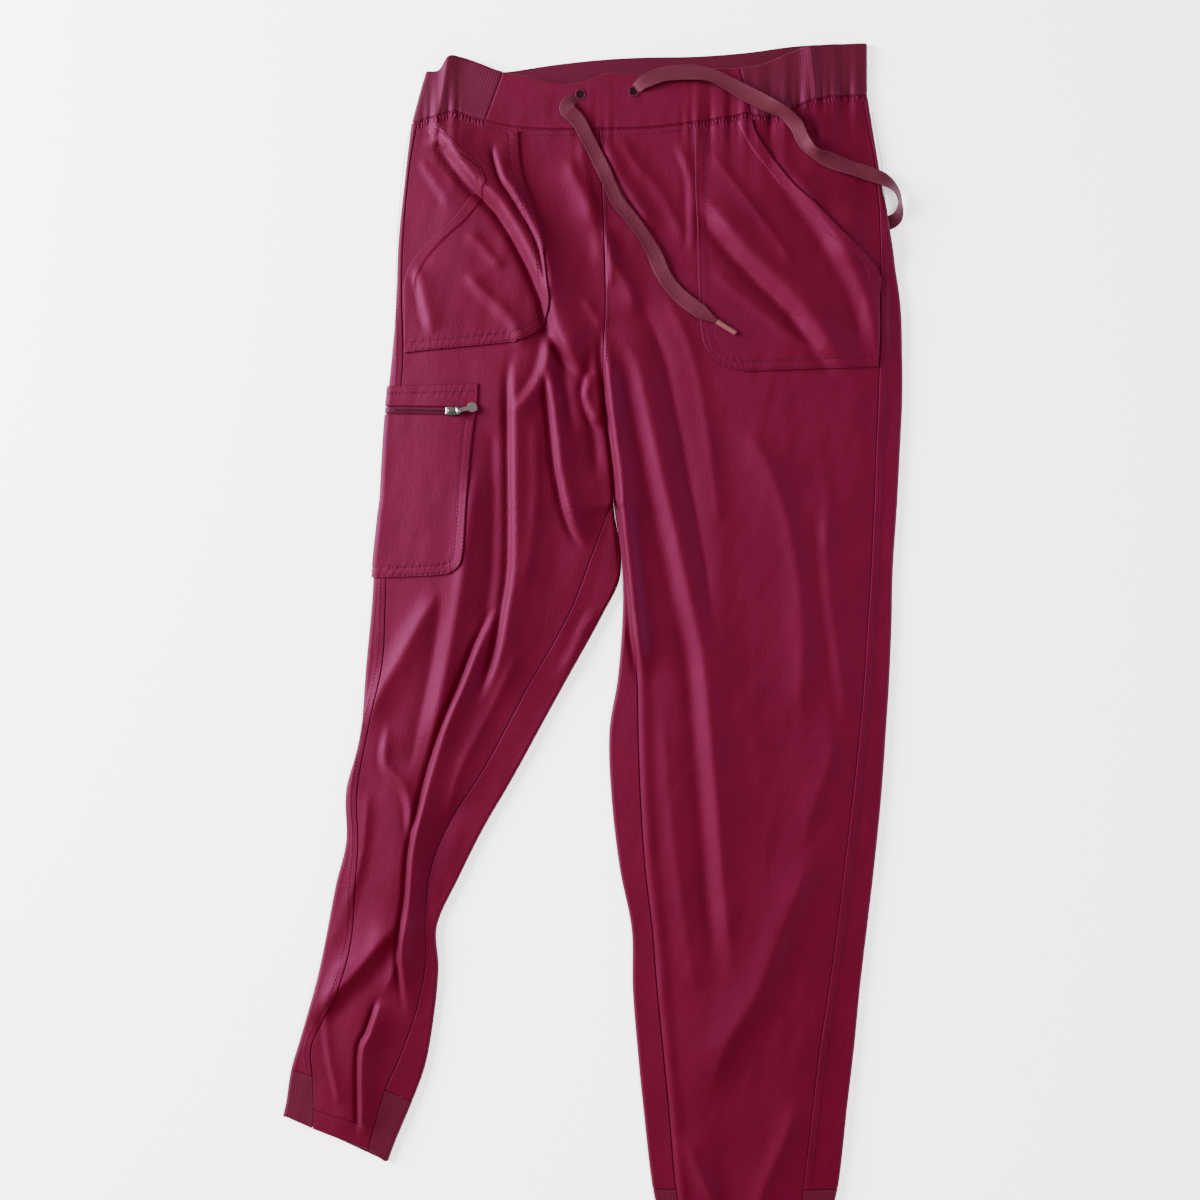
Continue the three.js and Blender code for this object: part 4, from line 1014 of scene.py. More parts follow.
class TROUSERS_OT_materials(Operator):
    """Make the garment's materials"""

    bl_idname = "trousers.materials"
    bl_label = "Materials"

    def execute(self, context):
        materials["cloth"] = twill_material("polyester_twill", COLOURS)
        materials["rib"] = knit_material("rib_knit", COLOURS["rib"], COLOURS["rib_dark"])
        materials["tape"] = tape_material("braided_tape", COLOURS["tape"], COLOURS["tape_dark"])
        materials["thread"] = knit_material("sewing_thread", COLOURS["thread"],
                                            COLOURS["rib_dark"], 0.5)
        materials["zip"] = knit_material("zip_tape_weave", COLOURS["zip"], COLOURS["rib_dark"])
        materials["aglet"] = plastic_material("acetate_tip", COLOURS["aglet"])
        materials["nickel"] = nickel_material("nickel_plate", COLOURS["nickel"])
        materials["slider"] = nickel_material("rubbed_nickel_plate", COLOURS["slider"])
        # Painted shade: a near-black plate with hardly any gloss stands for each buttonhole's opening
        materials["slot"] = floor_material("painted_shade_opening", COLOURS["slot"], 0.06)
        materials["floor"] = floor_material("matt_table", COLOURS["floor"])
        return {"FINISHED"}


def arc_of(line):
    """Distances of a line's places along it, from its first one."""
    return np.concatenate([[0], np.linalg.norm(np.diff(line, axis=0), axis=1).cumsum()])


def carried(rings):
    """Quads round a stack of rings and across both of its ends. Ring places k and last - k
    face each other, so an end is closed by a strip of quads between its two halves."""
    count, sides = rings.shape[:2]
    index = np.arange(count * sides).reshape(count, sides)
    after = np.roll(index, -1, axis=1)
    around = np.stack([index[:-1], after[:-1], after[1:], index[1:]], axis=-1).reshape(-1, 4)
    k = np.arange(sides // 2 - 1)
    facing = sides - 1 - k
    first = index[0][np.stack([k, facing, facing - 1, k + 1], axis=-1)]
    last = index[-1][np.stack([k, k + 1, facing - 1, facing], axis=-1)]
    places = rings.reshape(-1, 3)
    return places, outward(places, np.concatenate([around, first, last]))


def joined(stacks):
    """Several ring stacks as one set of places and quads."""
    places, quads, shift = [], [], 0
    for rings in stacks:
        p, q = carried(rings)
        places.append(p)
        quads.append(q + shift)
        shift += len(p)
    return np.concatenate(places), np.concatenate(quads)


def oval(half_wide, half_thick, sides, square=0.35, blunt=0.6):
    """A flat oval section of two columns, wide and thick, with blunt edges: cosine and sine
    of half-step angles, each raised to a power up to one."""
    angle = 2 * math.pi * (np.arange(sides) + 0.5) / sides
    c, s = np.cos(angle), np.sin(angle)
    return np.stack([half_wide * np.sign(c) * np.abs(c) ** square,
                     half_thick * np.sign(s) * np.abs(s) ** blunt], axis=1)


def tape_frame(route, count):
    """Centres and their across and out vectors along a tape's route of x, y, z and turn."""
    table = np.asarray(route, float)
    s = np.linspace(0, len(route) - 1, count)
    x, y, z, turn = (spline(table[:, k], s) for k in range(4))
    centre = np.stack([x, y, z], axis=1)
    run = unit(np.gradient(centre, axis=0))
    level = unit(np.cross(UP, run))
    turn = np.radians(turn)[:, None]
    across = level * np.cos(turn) + np.cross(run, level) * np.sin(turn)
    return centre, across, np.cross(run, across)


def swept(centre, across, out, section, wide=1.0, thick=None):
    """A section of across and out distances carried along centres. wide and thick narrow it
    at each centre; without thick, both ways narrow alike."""
    wide = np.broadcast_to(wide, len(centre))[:, None]
    thick = wide if thick is None else np.broadcast_to(thick, len(centre))[:, None]
    return (centre[:, None, :]
            + across[:, None, :] * (section[None, :, 0] * wide)[..., None]
            + out[:, None, :] * (section[None, :, 1] * thick)[..., None])


class TROUSERS_OT_drawstring(Operator):
    """Make the two ends of the flat drawstring and their tips"""

    bl_idname = "trousers.drawstring"
    bl_label = "Drawstring"

    def execute(self, context):
        section = oval(TAPE_WIDE / 2, TAPE_THICK / 2, TAPE_SIDES)
        for side, route, seed in (("right", DRAWSTRING_RIGHT, 52), ("left", DRAWSTRING_LEFT, 51)):
            centre, across, out = tape_frame(route, TAPE_RINGS)
            along = arc_of(centre)
            narrow = mix(1, TAPE_TAPER[1], smooth((along - along[-1]) / TAPE_TAPER[0] + 1))
            narrow *= 1 - TAPE_ENTRY[1] * (1 - smooth(along / TAPE_ENTRY[0]))
            rings = swept(centre, across, out, section, narrow, 1.0)
            rings = self.curled(rings, section, along, across, out, seed)
            places, quads = carried(rings)
            uv = np.stack(np.broadcast_arrays(section[None, :, 0], along[:, None]), axis=-1)
            tape = solid_piece(f"drawstring_tape_{side}", places, quads, "tape", f"drawstring_{side}",
                               uv=uv.reshape(-1, 2))
            tip = self.tip(side, route)
        return {"FINISHED"}

    def curled(self, rings, section, along, across, out, seed):
        """The tape's two edges rise by turns, by seeded noise, as the square of the distance
        from its middle; the risen edge draws in, and the tape rocks a little in a sine wave."""
        at = section[None, :, 0] / (TAPE_WIDE / 2)
        loose = smooth(along / TAPE_FREE[0]) * smooth((along[-1] - along) / TAPE_FREE[1])
        curl = (loose * (0.5 + 0.5 * soft_noise(along, along * 0, 24, 50, 0, seed)))[:, None]
        loose = loose[:, None]
        bend = TAPE_CURL[0] * curl * np.maximum(-at, 0) ** 2
        bend = bend + TAPE_CURL[1] * (loose - curl) * np.maximum(at, 0) ** 2
        rings = rings + bend[..., None] * out[:, None, :]
        drawn_in = TAPE_PINCH * curl * at * np.abs(at) * TAPE_WIDE / 2
        rings -= drawn_in[..., None] * across[:, None, :]
        rings[..., 2] += TAPE_ROCK[0] * at * np.sin(along / TAPE_ROCK[1])[:, None] * loose
        return rings

    def tip(self, side, route):
        """The sleeve past the tape's end: an oval bar that tapers a little, with rounded rims."""
        before, end = np.array(route, float)[-2:, :3]
        run = unit(end - before)
        across = unit(np.cross(UP, run))
        s = np.concatenate([[0, 0.01, 0.03], np.linspace(0.06, 0.94, 24),
                            [0.96, 0.975, 0.988, 0.996, 1]])
        rims = 1 - 0.25 * smooth((s - 0.95) / 0.05) ** 2 - 0.08 * smooth((0.03 - s) / 0.03)
        centre = end + run * (SEAM + s * AGLET_LONG)[:, None]
        vectors = [np.broadcast_to(v, centre.shape) for v in (across, np.cross(run, across))]
        section = oval(AGLET_WIDE / 2, AGLET_THICK / 2, AGLET_SIDES, 1, 1)
        places, quads = carried(swept(centre, *vectors, section, mix(1, AGLET_TIP, s) * rims))
        return solid_piece(f"drawstring_tip_{side}", places, quads, "aglet", f"aglet_{side}")


class TROUSERS_OT_panels(Operator):
    """Make the front and back panels of both legs, with their hem bands"""

    bl_idname = "trousers.panels"
    bl_label = "Panels"

    def execute(self, context):
        shift = SEAM / (2 * ROW_LONG)
        for side, leg in LEGS:
            front = front_grid(leg, rows_between(0, FRONT_END - shift), FRONT_STEP)
            cloth_piece(f"front_panel_{side}", front, f"front_{side}", rests_on=[f"back_{side}"])
            band = front_grid(leg, rows_between(FRONT_END + shift, HEM, 10, BAND_ROW), BAND_STEP)
            cloth_piece(f"hem_band_{side}", band, f"cuff_front_{side}", rests_on=[f"back_{side}"])
            back = back_grid(leg, rows_between(0, BACK_END - shift, 14), BACK_STEP)
            across, _ = arcs(back)
            beyond = across - SEAM_ROW - ALLOWANCE_PAST
            raised = ALLOWANCE * (1 - smooth(beyond / ALLOWANCE_EDGE))
            cloth_piece(f"back_panel_{side}", back, f"back_{side}", raised=raised)
        return {"FINISHED"}


def ribs(grid, settings, lying):
    """Height of the knit's ribs: waves across the grid's middle row, the same down each
    column, flattened where the piece lies on the table."""
    u, _ = arcs(grid)
    wave = 0.5 + 0.5 * np.cos(2 * math.pi * u[len(u) // 2] / settings.rib_pitch)
    return settings.rib_rise * (wave[None, :] - 1) * ~lying


class TROUSERS_OT_cuffs(Operator):
    """Make the rib-knit cuffs of the back panels"""

    bl_idname = "trousers.cuffs"
    bl_label = "Cuffs"

    def execute(self, context):
        rows = rows_between(BACK_END + SEAM / (2 * CUFF_ROW), HEM, 10, CUFF_ROW)
        for side, leg in LEGS:
            grid = back_grid(leg, rows, CUFF_STEP, roll_steps=14, under_step=4)
            raised = ribs(grid, context.scene.trousers_garment, grid[..., 2] <= RIB_KNIT)
            cloth_piece(f"rib_cuff_{side}", grid, f"cuff_back_{side}", material="rib",
                        slot="rib_knit", raised=raised)
        return {"FINISHED"}


def waist_top(t, x, from_edge=CROWN_REACH):
    """Places on the front of the waistband, for heights t from its seam to its top edge."""
    y = mix(curve_at(WAIST_SEAM, x) + WAIST_GAP, curve_at(TOP_FRONT, x), t)
    return np.stack([x, y, top_height(x, y, from_edge, CROWN_REACH)], axis=-1)


def rib_band_grid(t):
    """The rib band: the front strip at the right, round the edge, across the back, round the
    other edge and the front strip at the left."""
    right = mix(RIB_LOW[0], RIB_TOP[0], t) + RIB_KNIT / 2 + RIB_ROLL
    left = mix(RIB_LOW[1], RIB_TOP[1], t) - RIB_KNIT / 2 - RIB_ROLL
    right_end = mix(BAND_LOW[0], BAND_TOP[0], t) - SEAM / 2
    left_end = mix(BAND_LOW[1], BAND_TOP[1], t) + SEAM / 2

    def front(start, end, count):
        """A strip on the front, from one line to the other."""
        x = mix(start, end, np.linspace(0, 1, count)[None, :])
        return waist_top(t, x, np.minimum(x - right, left - x) + RIB_ROLL)

    first = front(right_end, right, 170)
    last = front(left, left_end, 240)
    x = mix(right, left, np.linspace(0, 1, 950)[None, :])
    y = mix(np.interp(x, *np.array(BACK_SEAM).T) + SEAM, curve_at(TOP_BACK, x), t)
    middle = np.stack([x, y, np.full(x.shape, RIB_KNIT / 2)], axis=-1)
    first_turn = roll_grid(right, -RIB_ROLL, first[:, -1], middle[:, 0], RIB_ROLL_STEPS)
    last_turn = roll_grid(left, RIB_ROLL, middle[:, -1], last[:, 0], RIB_ROLL_STEPS)
    for turn in (first_turn, last_turn):
        turn[..., 2] = np.maximum(turn[..., 2], RIB_KNIT / 2)
    return np.concatenate([first, first_turn, middle[:, 1:], last_turn, last[:, 1:]], axis=1)


class TROUSERS_OT_waistband(Operator):
    """Make the rib waistband and the self-fabric band of the centre front"""

    bl_idname = "trousers.waistband"
    bl_label = "Waistband"

    def execute(self, context):
        grid = rib_band_grid(steps_across(48, 4)[:, None])
        lying = np.abs(grid[..., 2] - RIB_KNIT / 2) < SAME
        cloth_piece("rib_waistband", grid, "waistband_rib", -RIB_KNIT / 2, RIB_KNIT / 2,
                    material="rib", slot="rib_knit",
                    raised=ribs(grid, context.scene.trousers_garment, lying))
        t = steps_across(44, 2)[:, None]
        start = mix(BAND_LOW[0], BAND_TOP[0], t) + SEAM / 2
        end = mix(BAND_LOW[1], BAND_TOP[1], t) - SEAM / 2
        band = waist_top(t, mix(start, end, steps_across(210, 2)[None, :]))
        cloth_piece("front_waistband", band, "waistband_front", -RIB_KNIT / 2, RIB_KNIT / 2,
                    rests_on=["waistband_rib"])
        return {"FINISHED"}


def on_leg(leg, x, y):
    """Height of the upper layer of a leg at places of the plan: the row of each place is
    found by halving, and the leg gives the height there."""
    low = np.zeros_like(x)
    high = np.full_like(x, LAST_PATCH_ROW)
    for _ in range(HALVINGS):
        middle = (low + high) / 2
        below = leg.y_across(leg.columns(middle), x) > y
        low = np.where(below, middle, low)
        high = np.where(below, high, middle)
    return leg.height(leg.columns(low), low, x, y)


def patch_grid(leg, rows):
    """A patch pocket on a leg: its rows run from its opening to its inner edge."""
    t = steps_across(POCKET_LONG, POCKET_STEP) * (len(rows) - 1)
    r = columns_at(rows, PATCH_COLUMNS, t[:, None])
    across = steps_across(POCKET_WIDE, POCKET_STEP, HEM_SAMPLES)[None, :]
    x = mix(r["out_x"], r["in_x"], across)
    y = mix(r["out_y"], r["in_y"], across)
    return np.stack([x, y, on_leg(leg, x, y)], axis=-1)


def along_line(line, at):
    """Places on a line at distances along it."""
    arc = arc_of(line)
    return np.stack([np.interp(at, arc, line[:, k]) for k in range(line.shape[1])], axis=-1)


def beside(line, distance):
    """A plan line moved sideways, to the left of its run where the distance is above 0."""
    run = unit(np.gradient(line, axis=0))
    return line + distance * np.stack([-run[:, 1], run[:, 0]], axis=1)


def on_cloth(leg, plan, lift):
    """Places over a plan line, lifted off the leg's upper layer square to its slope."""
    x, y = plan[:, 0], plan[:, 1]
    z = on_leg(leg, x, y)
    slope_x = (on_leg(leg, x + SLOPE_STEP, y) - z) / SLOPE_STEP
    slope_y = (on_leg(leg, x, y + SLOPE_STEP) - z) / SLOPE_STEP
    return np.stack([x, y, z + lift * np.sqrt(1 + slope_x ** 2 + slope_y ** 2)], axis=-1)


def stitch_paths(line, pitch):
    """Five places for each stitch on a line: its ends dive into the cloth, and its middle
    stands a little above it."""
    total = arc_of(line)[-1]
    count = max(int(total / pitch), 1)
    centre = (np.arange(count) + 0.5) * total / count
    step = np.array([-0.5, -0.32, 0, 0.32, 0.5]) * STITCH_SHARE * total / count
    paths = along_line(line, centre[:, None] + step[None, :])
    shoulder = STITCH_ARCH * 0.7
    paths[..., 2] += np.array([-STITCH_DIVE, shoulder, STITCH_ARCH, shoulder, -STITCH_DIVE])
    return paths


def thread_mesh(name, paths, radius=THREAD_RADIUS, material="thread"):
    """Short threads of five places each as one mesh: an eight-sided oval carried along every
    path at once."""
    run = unit(np.gradient(paths, axis=1))
    side = unit(np.cross(run, UP))
    out = np.cross(side, run)
    section = oval(radius, radius * 0.8, 8, 1.0)
    ends = np.array([0.5, 1, 1, 1, 0.5])[None, :, None, None]
    rings = (paths[:, :, None, :] + ends * side[:, :, None, :] * section[None, None, :, 0, None]
             + ends * out[:, :, None, :] * section[None, None, :, 1, None])
    places = rings.reshape(-1, 3)
    _, quads = carried(rings[0])
    shift = np.arange(len(paths)) * rings[0, ..., 0].size
    every = (quads[None] + shift[:, None, None]).reshape(-1, 4)
    solid_piece(name, places, every, material, None, uv=places[:, :2])


def topstitching(name, lines, pitch):
    """Rows of stitches along lines, as one mesh."""
    thread_mesh(name, np.concatenate([stitch_paths(line, pitch) for line in lines]))


def patch_edge(rows, columns=PATCH_COLUMNS, outer=None):
    """Plan line of a patch's sewn edge: down its inner edge and back along its last row."""
    r = columns_at(rows, columns, np.linspace(0, len(rows) - 1, 160))
    inner = np.stack([r["in_x"], r["in_y"]], axis=1)
    start = (r["out_x"][-1] if outer is None else outer, r["out_y"][-1])
    return np.concatenate([inner, np.linspace(inner[-1], start, 60)[1:]])


def pucker(grid, edge, seed, share=1.0):
    """Relief along the stitching of a patch: a narrow trough on each seam, at its distance
    from the edge, and uneven puckers across it that die away on both sides."""
    away, _, at, _ = nearest_on(edge, grid[..., 0], grid[..., 1])
    relief = np.zeros(away.shape)
    waver = soft_noise(at, at * 0, 17, 50, 0, seed)
    strength = 0.55 + 0.45 * soft_noise(at, at * 0, 31, 50, 0, seed + 1)
    for distance, depth, pitch in PATCH_SEAMS:
        off = away - distance
        relief -= depth * np.exp(-((off / TROUGH_HALF) ** 2))
        wave = np.sin(2 * math.pi * (at + 0.5 * off) / pitch + 2.4 * waver)
        relief += share * depth * strength * wave * np.exp(-((off / PUCKER_HALF) ** 2))
    return relief


class TROUSERS_OT_pockets(Operator):
    """Make the two patch pockets"""

    bl_idname = "trousers.pockets"
    bl_label = "Patch pockets"

    def execute(self, context):
        for side, leg, rows, opening, seed in (("left", LEFT_LEG, POCKET_LEFT, 0.55, 31),
                                               ("right", RIGHT_LEG, POCKET_RIGHT, 0.72, 35)):
            grid = patch_grid(leg, rows)
            from_opening, _ = arcs(grid)
            hem = HEM_RISE * (1 - smooth((from_opening - HEM_WIDE) / HEM_EDGE))
            down = np.linspace(0, 1, len(grid))[:, None]
            raised = hem * (1 - smooth((down - opening) / 0.05)) + pucker(grid, patch_edge(rows), seed)
            cloth_piece(f"patch_pocket_{side}", grid, f"pocket_{side}", PATCH_LOW, PATCH_HIGH,
                        upper=grid.shape[1] // 2, raised=raised, rests_on=[f"front_panel_{side}"])
        return {"FINISHED"}


def cargo_grid(rows, count, notch=0.0):
    """A patch that starts on the silhouette of the right leg, climbs the outer roll, a quarter
    of an oval, and goes on over the strip and the front panel to its inner edge. A notch
    lowers the first row on the outer side of the zip's end."""
    t = np.linspace(0, len(rows) - 1, count)[:, None]
    r = columns_at(rows, CARGO_COLUMNS, t)
    row = np.interp(-r["out_y"], -np.array(RIGHT_ROWS)[:, 1], np.arange(len(RIGHT_ROWS)))
    leg_row = RIGHT_LEG.columns(row)
    reach = RIGHT_LEG.outer_roll(leg_row)
    outer = leg_row["edge_x"] + CLOTH / 2 + reach
    near_end = (WINDOW_END - outer.mean()) / (rows[0][1] - outer.mean())
    fine = near_end + np.linspace(-0.02, 0.02, 11)
    across = np.unique(np.concatenate([steps_across(CARGO_WIDE, CARGO_STEP), fine]))[None, :]
    x = mix(outer, r["in_x"], across)
    y = mix(r["out_y"], r["in_y"], across)
    if notch:
        straight = mix(rows[0][0], rows[0][2], (x - outer) / (rows[0][1] - outer))
        corner = smooth((x - WINDOW_END) / WINDOW_CORNER + 0.5)
        below = mix(*WINDOW_BELOW, (x - WINDOW_START) / WINDOW_WIDE)
        y = y + (mix(below, PAST_WINDOW, corner) - straight) * (1 - smooth(t / notch))
    top = np.stack([x, y, on_leg(RIGHT_LEG, x, y)], axis=-1)
    angle = np.radians(np.linspace(90, 0, 9)[:-1])[None, :]
    rim = top[:, :1]
    under = rim.copy()
    under[..., 2] = CLOTH / 2
    rolled = mix(rim, under, ((1 - np.cos(angle)) / 2)[..., None])
    rolled[..., 0] = outer - reach * np.sin(angle)
    return np.concatenate([rolled, top], axis=1)


class TROUSERS_OT_cargo(Operator):
    """Make the cargo pocket above and below its zip"""

    bl_idname = "trousers.cargo"
    bl_label = "Cargo pocket"

    def execute(self, context):
        sewn_edge = patch_edge(CARGO_BODY, CARGO_COLUMNS, CARGO_OUTER)
        for name, node, rows, count, notch, edge, seed in (
                ("cargo_flap", "cargo_top", CARGO_TOP, 16, 0, CARGO_RIM, 43),
                ("cargo_body", "cargo_pocket", CARGO_BODY, 96, 0.7, sewn_edge, 41)):
            grid = cargo_grid(rows, count, notch)
            cloth_piece(name, grid, node, PATCH_LOW, PATCH_HIGH, upper=grid.shape[1] - 4,
                        raised=pucker(grid, edge, seed, 0.8), rests_on=["front_panel_right"])
        return {"FINISHED"}


def turned(places, angle, axes=(0, 1)):
    """Places turned by an angle in degrees, from the first of two axes towards the second."""
    a = math.radians(angle)
    first, second = places[..., axes[0]], places[..., axes[1]]
    result = places.copy()
    result[..., axes[0]] = first * math.cos(a) - second * math.sin(a)
    result[..., axes[1]] = first * math.sin(a) + second * math.cos(a)
    return result


def slab(x, half_wide, low, high, rounding, crown=0.0):
    """A plate with rounded edges: its outline goes out along x at +half_wide and back at
    -half_wide, and rings of it, drawn in by a quarter circle, are stacked from low to high."""
    way_out = np.stack([x, half_wide], axis=1).astype(float)
    outline = np.concatenate([way_out, way_out[::-1] * (1, -1)])
    middle = np.array([(way_out[0, 0] + way_out[-1, 0]) / 2, 0])
    angle = np.radians(np.linspace(0, 90, 6))
    inset = rounding * (1 - np.sin(angle))
    height = rounding * (1 - np.cos(angle))
    top = [high + crown * 0.7, high + crown]
    heights = np.concatenate([low + height, high - height[::-1], top])
    insets = np.concatenate([inset, inset[::-1], [rounding * 1.6, rounding * 2.6]])
    size = np.abs(outline - middle).max(axis=0)
    scale = 1 - insets[:, None] / size[None, :]
    rings = np.empty((len(heights), len(outline), 3))
    rings[..., :2] = middle + (outline - middle)[None] * scale[:, None, :]
    rings[..., 2] = heights[:, None]
    return rings


def ring_tube(path, radius, sides=12):
    """A round bar along a path of a few places, with blunt ends."""
    path = np.asarray(path, float)
    run = unit(np.gradient(path, axis=0))
    side = unit(np.cross(run, ASKEW))
    ends = np.ones(len(path))
    ends[[0, -1]] = 0.6
    return swept(path, side, np.cross(run, side), oval(radius, radius, sides, 1.0), ends)


class TROUSERS_OT_zip(Operator):
    """Make the cargo pocket's zip: tape, coil teeth, slider and pull tab"""

    bl_idname = "trousers.zip"
    bl_label = "Zip"

    def execute(self, context):
        grid = cargo_grid(ZIP_WINDOW, 9)
        piece = wall("zip_tape_cloth", grid, PATCH_LOW, PATCH_LOW + ZIP_TAPE, upper=grid.shape[1] - 4)
        finish_piece(piece, "zip", "zip_tape")
        self.teeth(grid[len(grid) // 2] + UP * (PATCH_LOW + ZIP_TAPE))
        self.slider()
        self.pull()
        return {"FINISHED"}

    def teeth(self, line):
        """Coil teeth: a small oval bead every pitch on each side of the zip's middle line."""
        line = line[line[:, 0] > line[0, 0] + 4]
        x = np.arange(line[0, 0] + 2, SLIDER_PLACE[0] - SLIDER_LONG / 2, TOOTH_PITCH)
        beads = []
        for side in (-1, 1):
            for place in x + (TOOTH_PITCH / 2 if side > 0 else 0):
                y = np.interp(place, line[:, 0], line[:, 1]) + side * TOOTH_REACH
                z = np.interp(place, line[:, 0], line[:, 2])
                path = [(place + k * TOOTH_LEAN, y + k * TOOTH_REACH, z + rise)
                        for k, rise in TOOTH_ARCH]
                beads.append(ring_tube(path, TOOTH_RADIUS, 6))
        places, quads = joined(beads)
        solid_piece("zip_coil", places, quads, "zip", None, uv=places[:, :2])

    def slider(self):
        """Slider: a crowned body, a bridge, two lugs and the pin that the pull tab turns on."""
        x, half = np.array(SLIDER_OUTLINE, float).T
        face = SLIDER_TALL - 0.5
        body = slab(x, half, 0, face, 0.5, 0.4)
        bridge = slab(x * 0.5 - 1.2, half * 0.42, face, SLIDER_TALL + 0.9, 0.4, 0.15)
        half_pin = (BAIL_SPAN + BAIL_LUG) / 2
        on_bail = []
        for end in (-1, 1):
            lug = slab([-1.2, -1, 1, 1.2], [0.35, 0.55, 0.55, 0.35], SLIDER_TALL - 0.7,
                       PIN_HEIGHT + PIN_RADIUS, 0.2)
            lug[..., 1] += end * (BAIL_SPAN + BAIL_LUG) / 2
            on_bail.append(lug)
        on_bail.append(ring_tube([(0, y, PIN_HEIGHT) for y in np.linspace(-half_pin, half_pin, 5)],
                                 PIN_RADIUS))
        stacks = [turned(body, SLIDER_TURN), turned(bridge, SLIDER_TURN)]
        stacks += [turned(rings, BAIL_TURN) + np.array([BAIL_X - SLIDER_PLACE[0], 0, 0])
                   for rings in on_bail]
        places, quads = joined(stacks)
        solid_piece("zip_slider_body", places + np.array(SLIDER_PLACE), quads, "slider",
                    "zip_slider")

    def pull(self):
        """Pull tab: an eye round the pin, a neck, and a round end."""
        swing = np.radians(np.linspace(0, 180, 15))
        round_x = PULL_LONG - PULL_END * np.cos(swing) * 0.98
        round_half = np.maximum(PULL_END * np.sin(swing), 0.35)
        neck_x, neck_half = np.array(PULL_NECK_OUTLINE).T
        x = np.concatenate([neck_x, round_x])
        half = np.concatenate([neck_half, round_half])
        keep = np.concatenate([neck_x < 8.4, round_x > 8.6])
        half = np.where(x < 9.5, np.maximum(half, 1.9 * (x > 7.5)), half)
        tab = slab(x[keep], half[keep], -PULL_THICK / 2, PULL_THICK / 2, 0.3)
        angle = np.radians(np.linspace(20, 340, 25))
        path = EYE_RADIUS * np.stack([np.cos(angle), np.zeros(25), np.sin(angle)], axis=1)
        across = np.broadcast_to([0.0, 1, 0], path.shape)
        eye = swept(path, across, path / EYE_RADIUS, oval(PULL_NECK / 2, 0.45, 12))
        places, quads = joined([tab, eye])
        places = turned(turned(places, PULL_DIP, (2, 0)), BAIL_TURN)
        places = places + np.array([BAIL_X, SLIDER_PLACE[1], SLIDER_PLACE[2] + PIN_HEIGHT])
        solid_piece("zip_pull_tab", places, quads, "nickel", "zip_pull", PULL_TAB)


def direction_euler(aim):
    """Rotation that turns a lamp's own -Z towards the aim."""
    flat = math.hypot(aim[0], aim[1])
    return math.atan2(flat, -aim[2]), 0, math.atan2(aim[1], aim[0]) - math.pi / 2


class TROUSERS_OT_stage(Operator):
    """Make the table, the lights and the camera"""

    bl_idname = "trousers.stage"
    bl_label = "Stage"

    def execute(self, context):
        settings = context.scene.trousers_stage
        square = np.array([(-1, -1, 0), (1, -1, 0), (1, 1, 0), (-1, 1, 0)])
        corners = square * TABLE_HALF - UP * TABLE_DROP
        table = make_mesh("table_top", corners, np.array([[0, 1, 2, 3]]))
        table.data.materials.append(materials["floor"])
        middle = PHOTO_SIDE / 2
        centre = (middle - PHOTO_ORIGIN[0]) * PIXEL * MM, (PHOTO_ORIGIN[1] - middle) * PIXEL * MM
        distance = PHOTO_SIDE * PIXEL * MM / 2 / math.tan(settings.field / 2)
        camera = bpy.data.cameras.new("overhead")
        camera.sensor_fit = "HORIZONTAL"
        camera.angle = settings.field
        holder = bpy.data.objects.new("overhead", camera)
        holder.location = (*centre, distance + CLOTH_LEVEL)
        context.collection.objects.link(holder)
        context.scene.camera = holder
        for name, place, side, share, glossy, colour in LIGHTS:
            light = bpy.data.lights.new(name, "AREA")
            light.size = side
            light.energy = settings.key_power * share
            light.color = linear(colour)
            lamp = bpy.data.objects.new(name, light)
            lamp.location = place
            lamp.visible_glossy = glossy
            lamp.rotation_euler = direction_euler(np.array([*centre, 0]) - np.array(place))
            context.collection.objects.link(lamp)
        world = bpy.data.worlds.new("studio")
        context.scene.world = world
        world.use_nodes = True
        background = world.node_tree.nodes["Background"]
        background.inputs["Color"].default_value = (*linear(COLOURS["room"]), 1)
        background.inputs["Strength"].default_value = ROOM_LIGHT
        return {"FINISHED"}


def seam_height(x, y):
    """Height of the upper layer along the waist seam, lower towards both folded edges."""
    from_edge = np.minimum(x - WAIST_ENDS[0], WAIST_ENDS[1] - x) + RIB_ROLL
    return top_height(x, y, from_edge, CROWN_REACH)


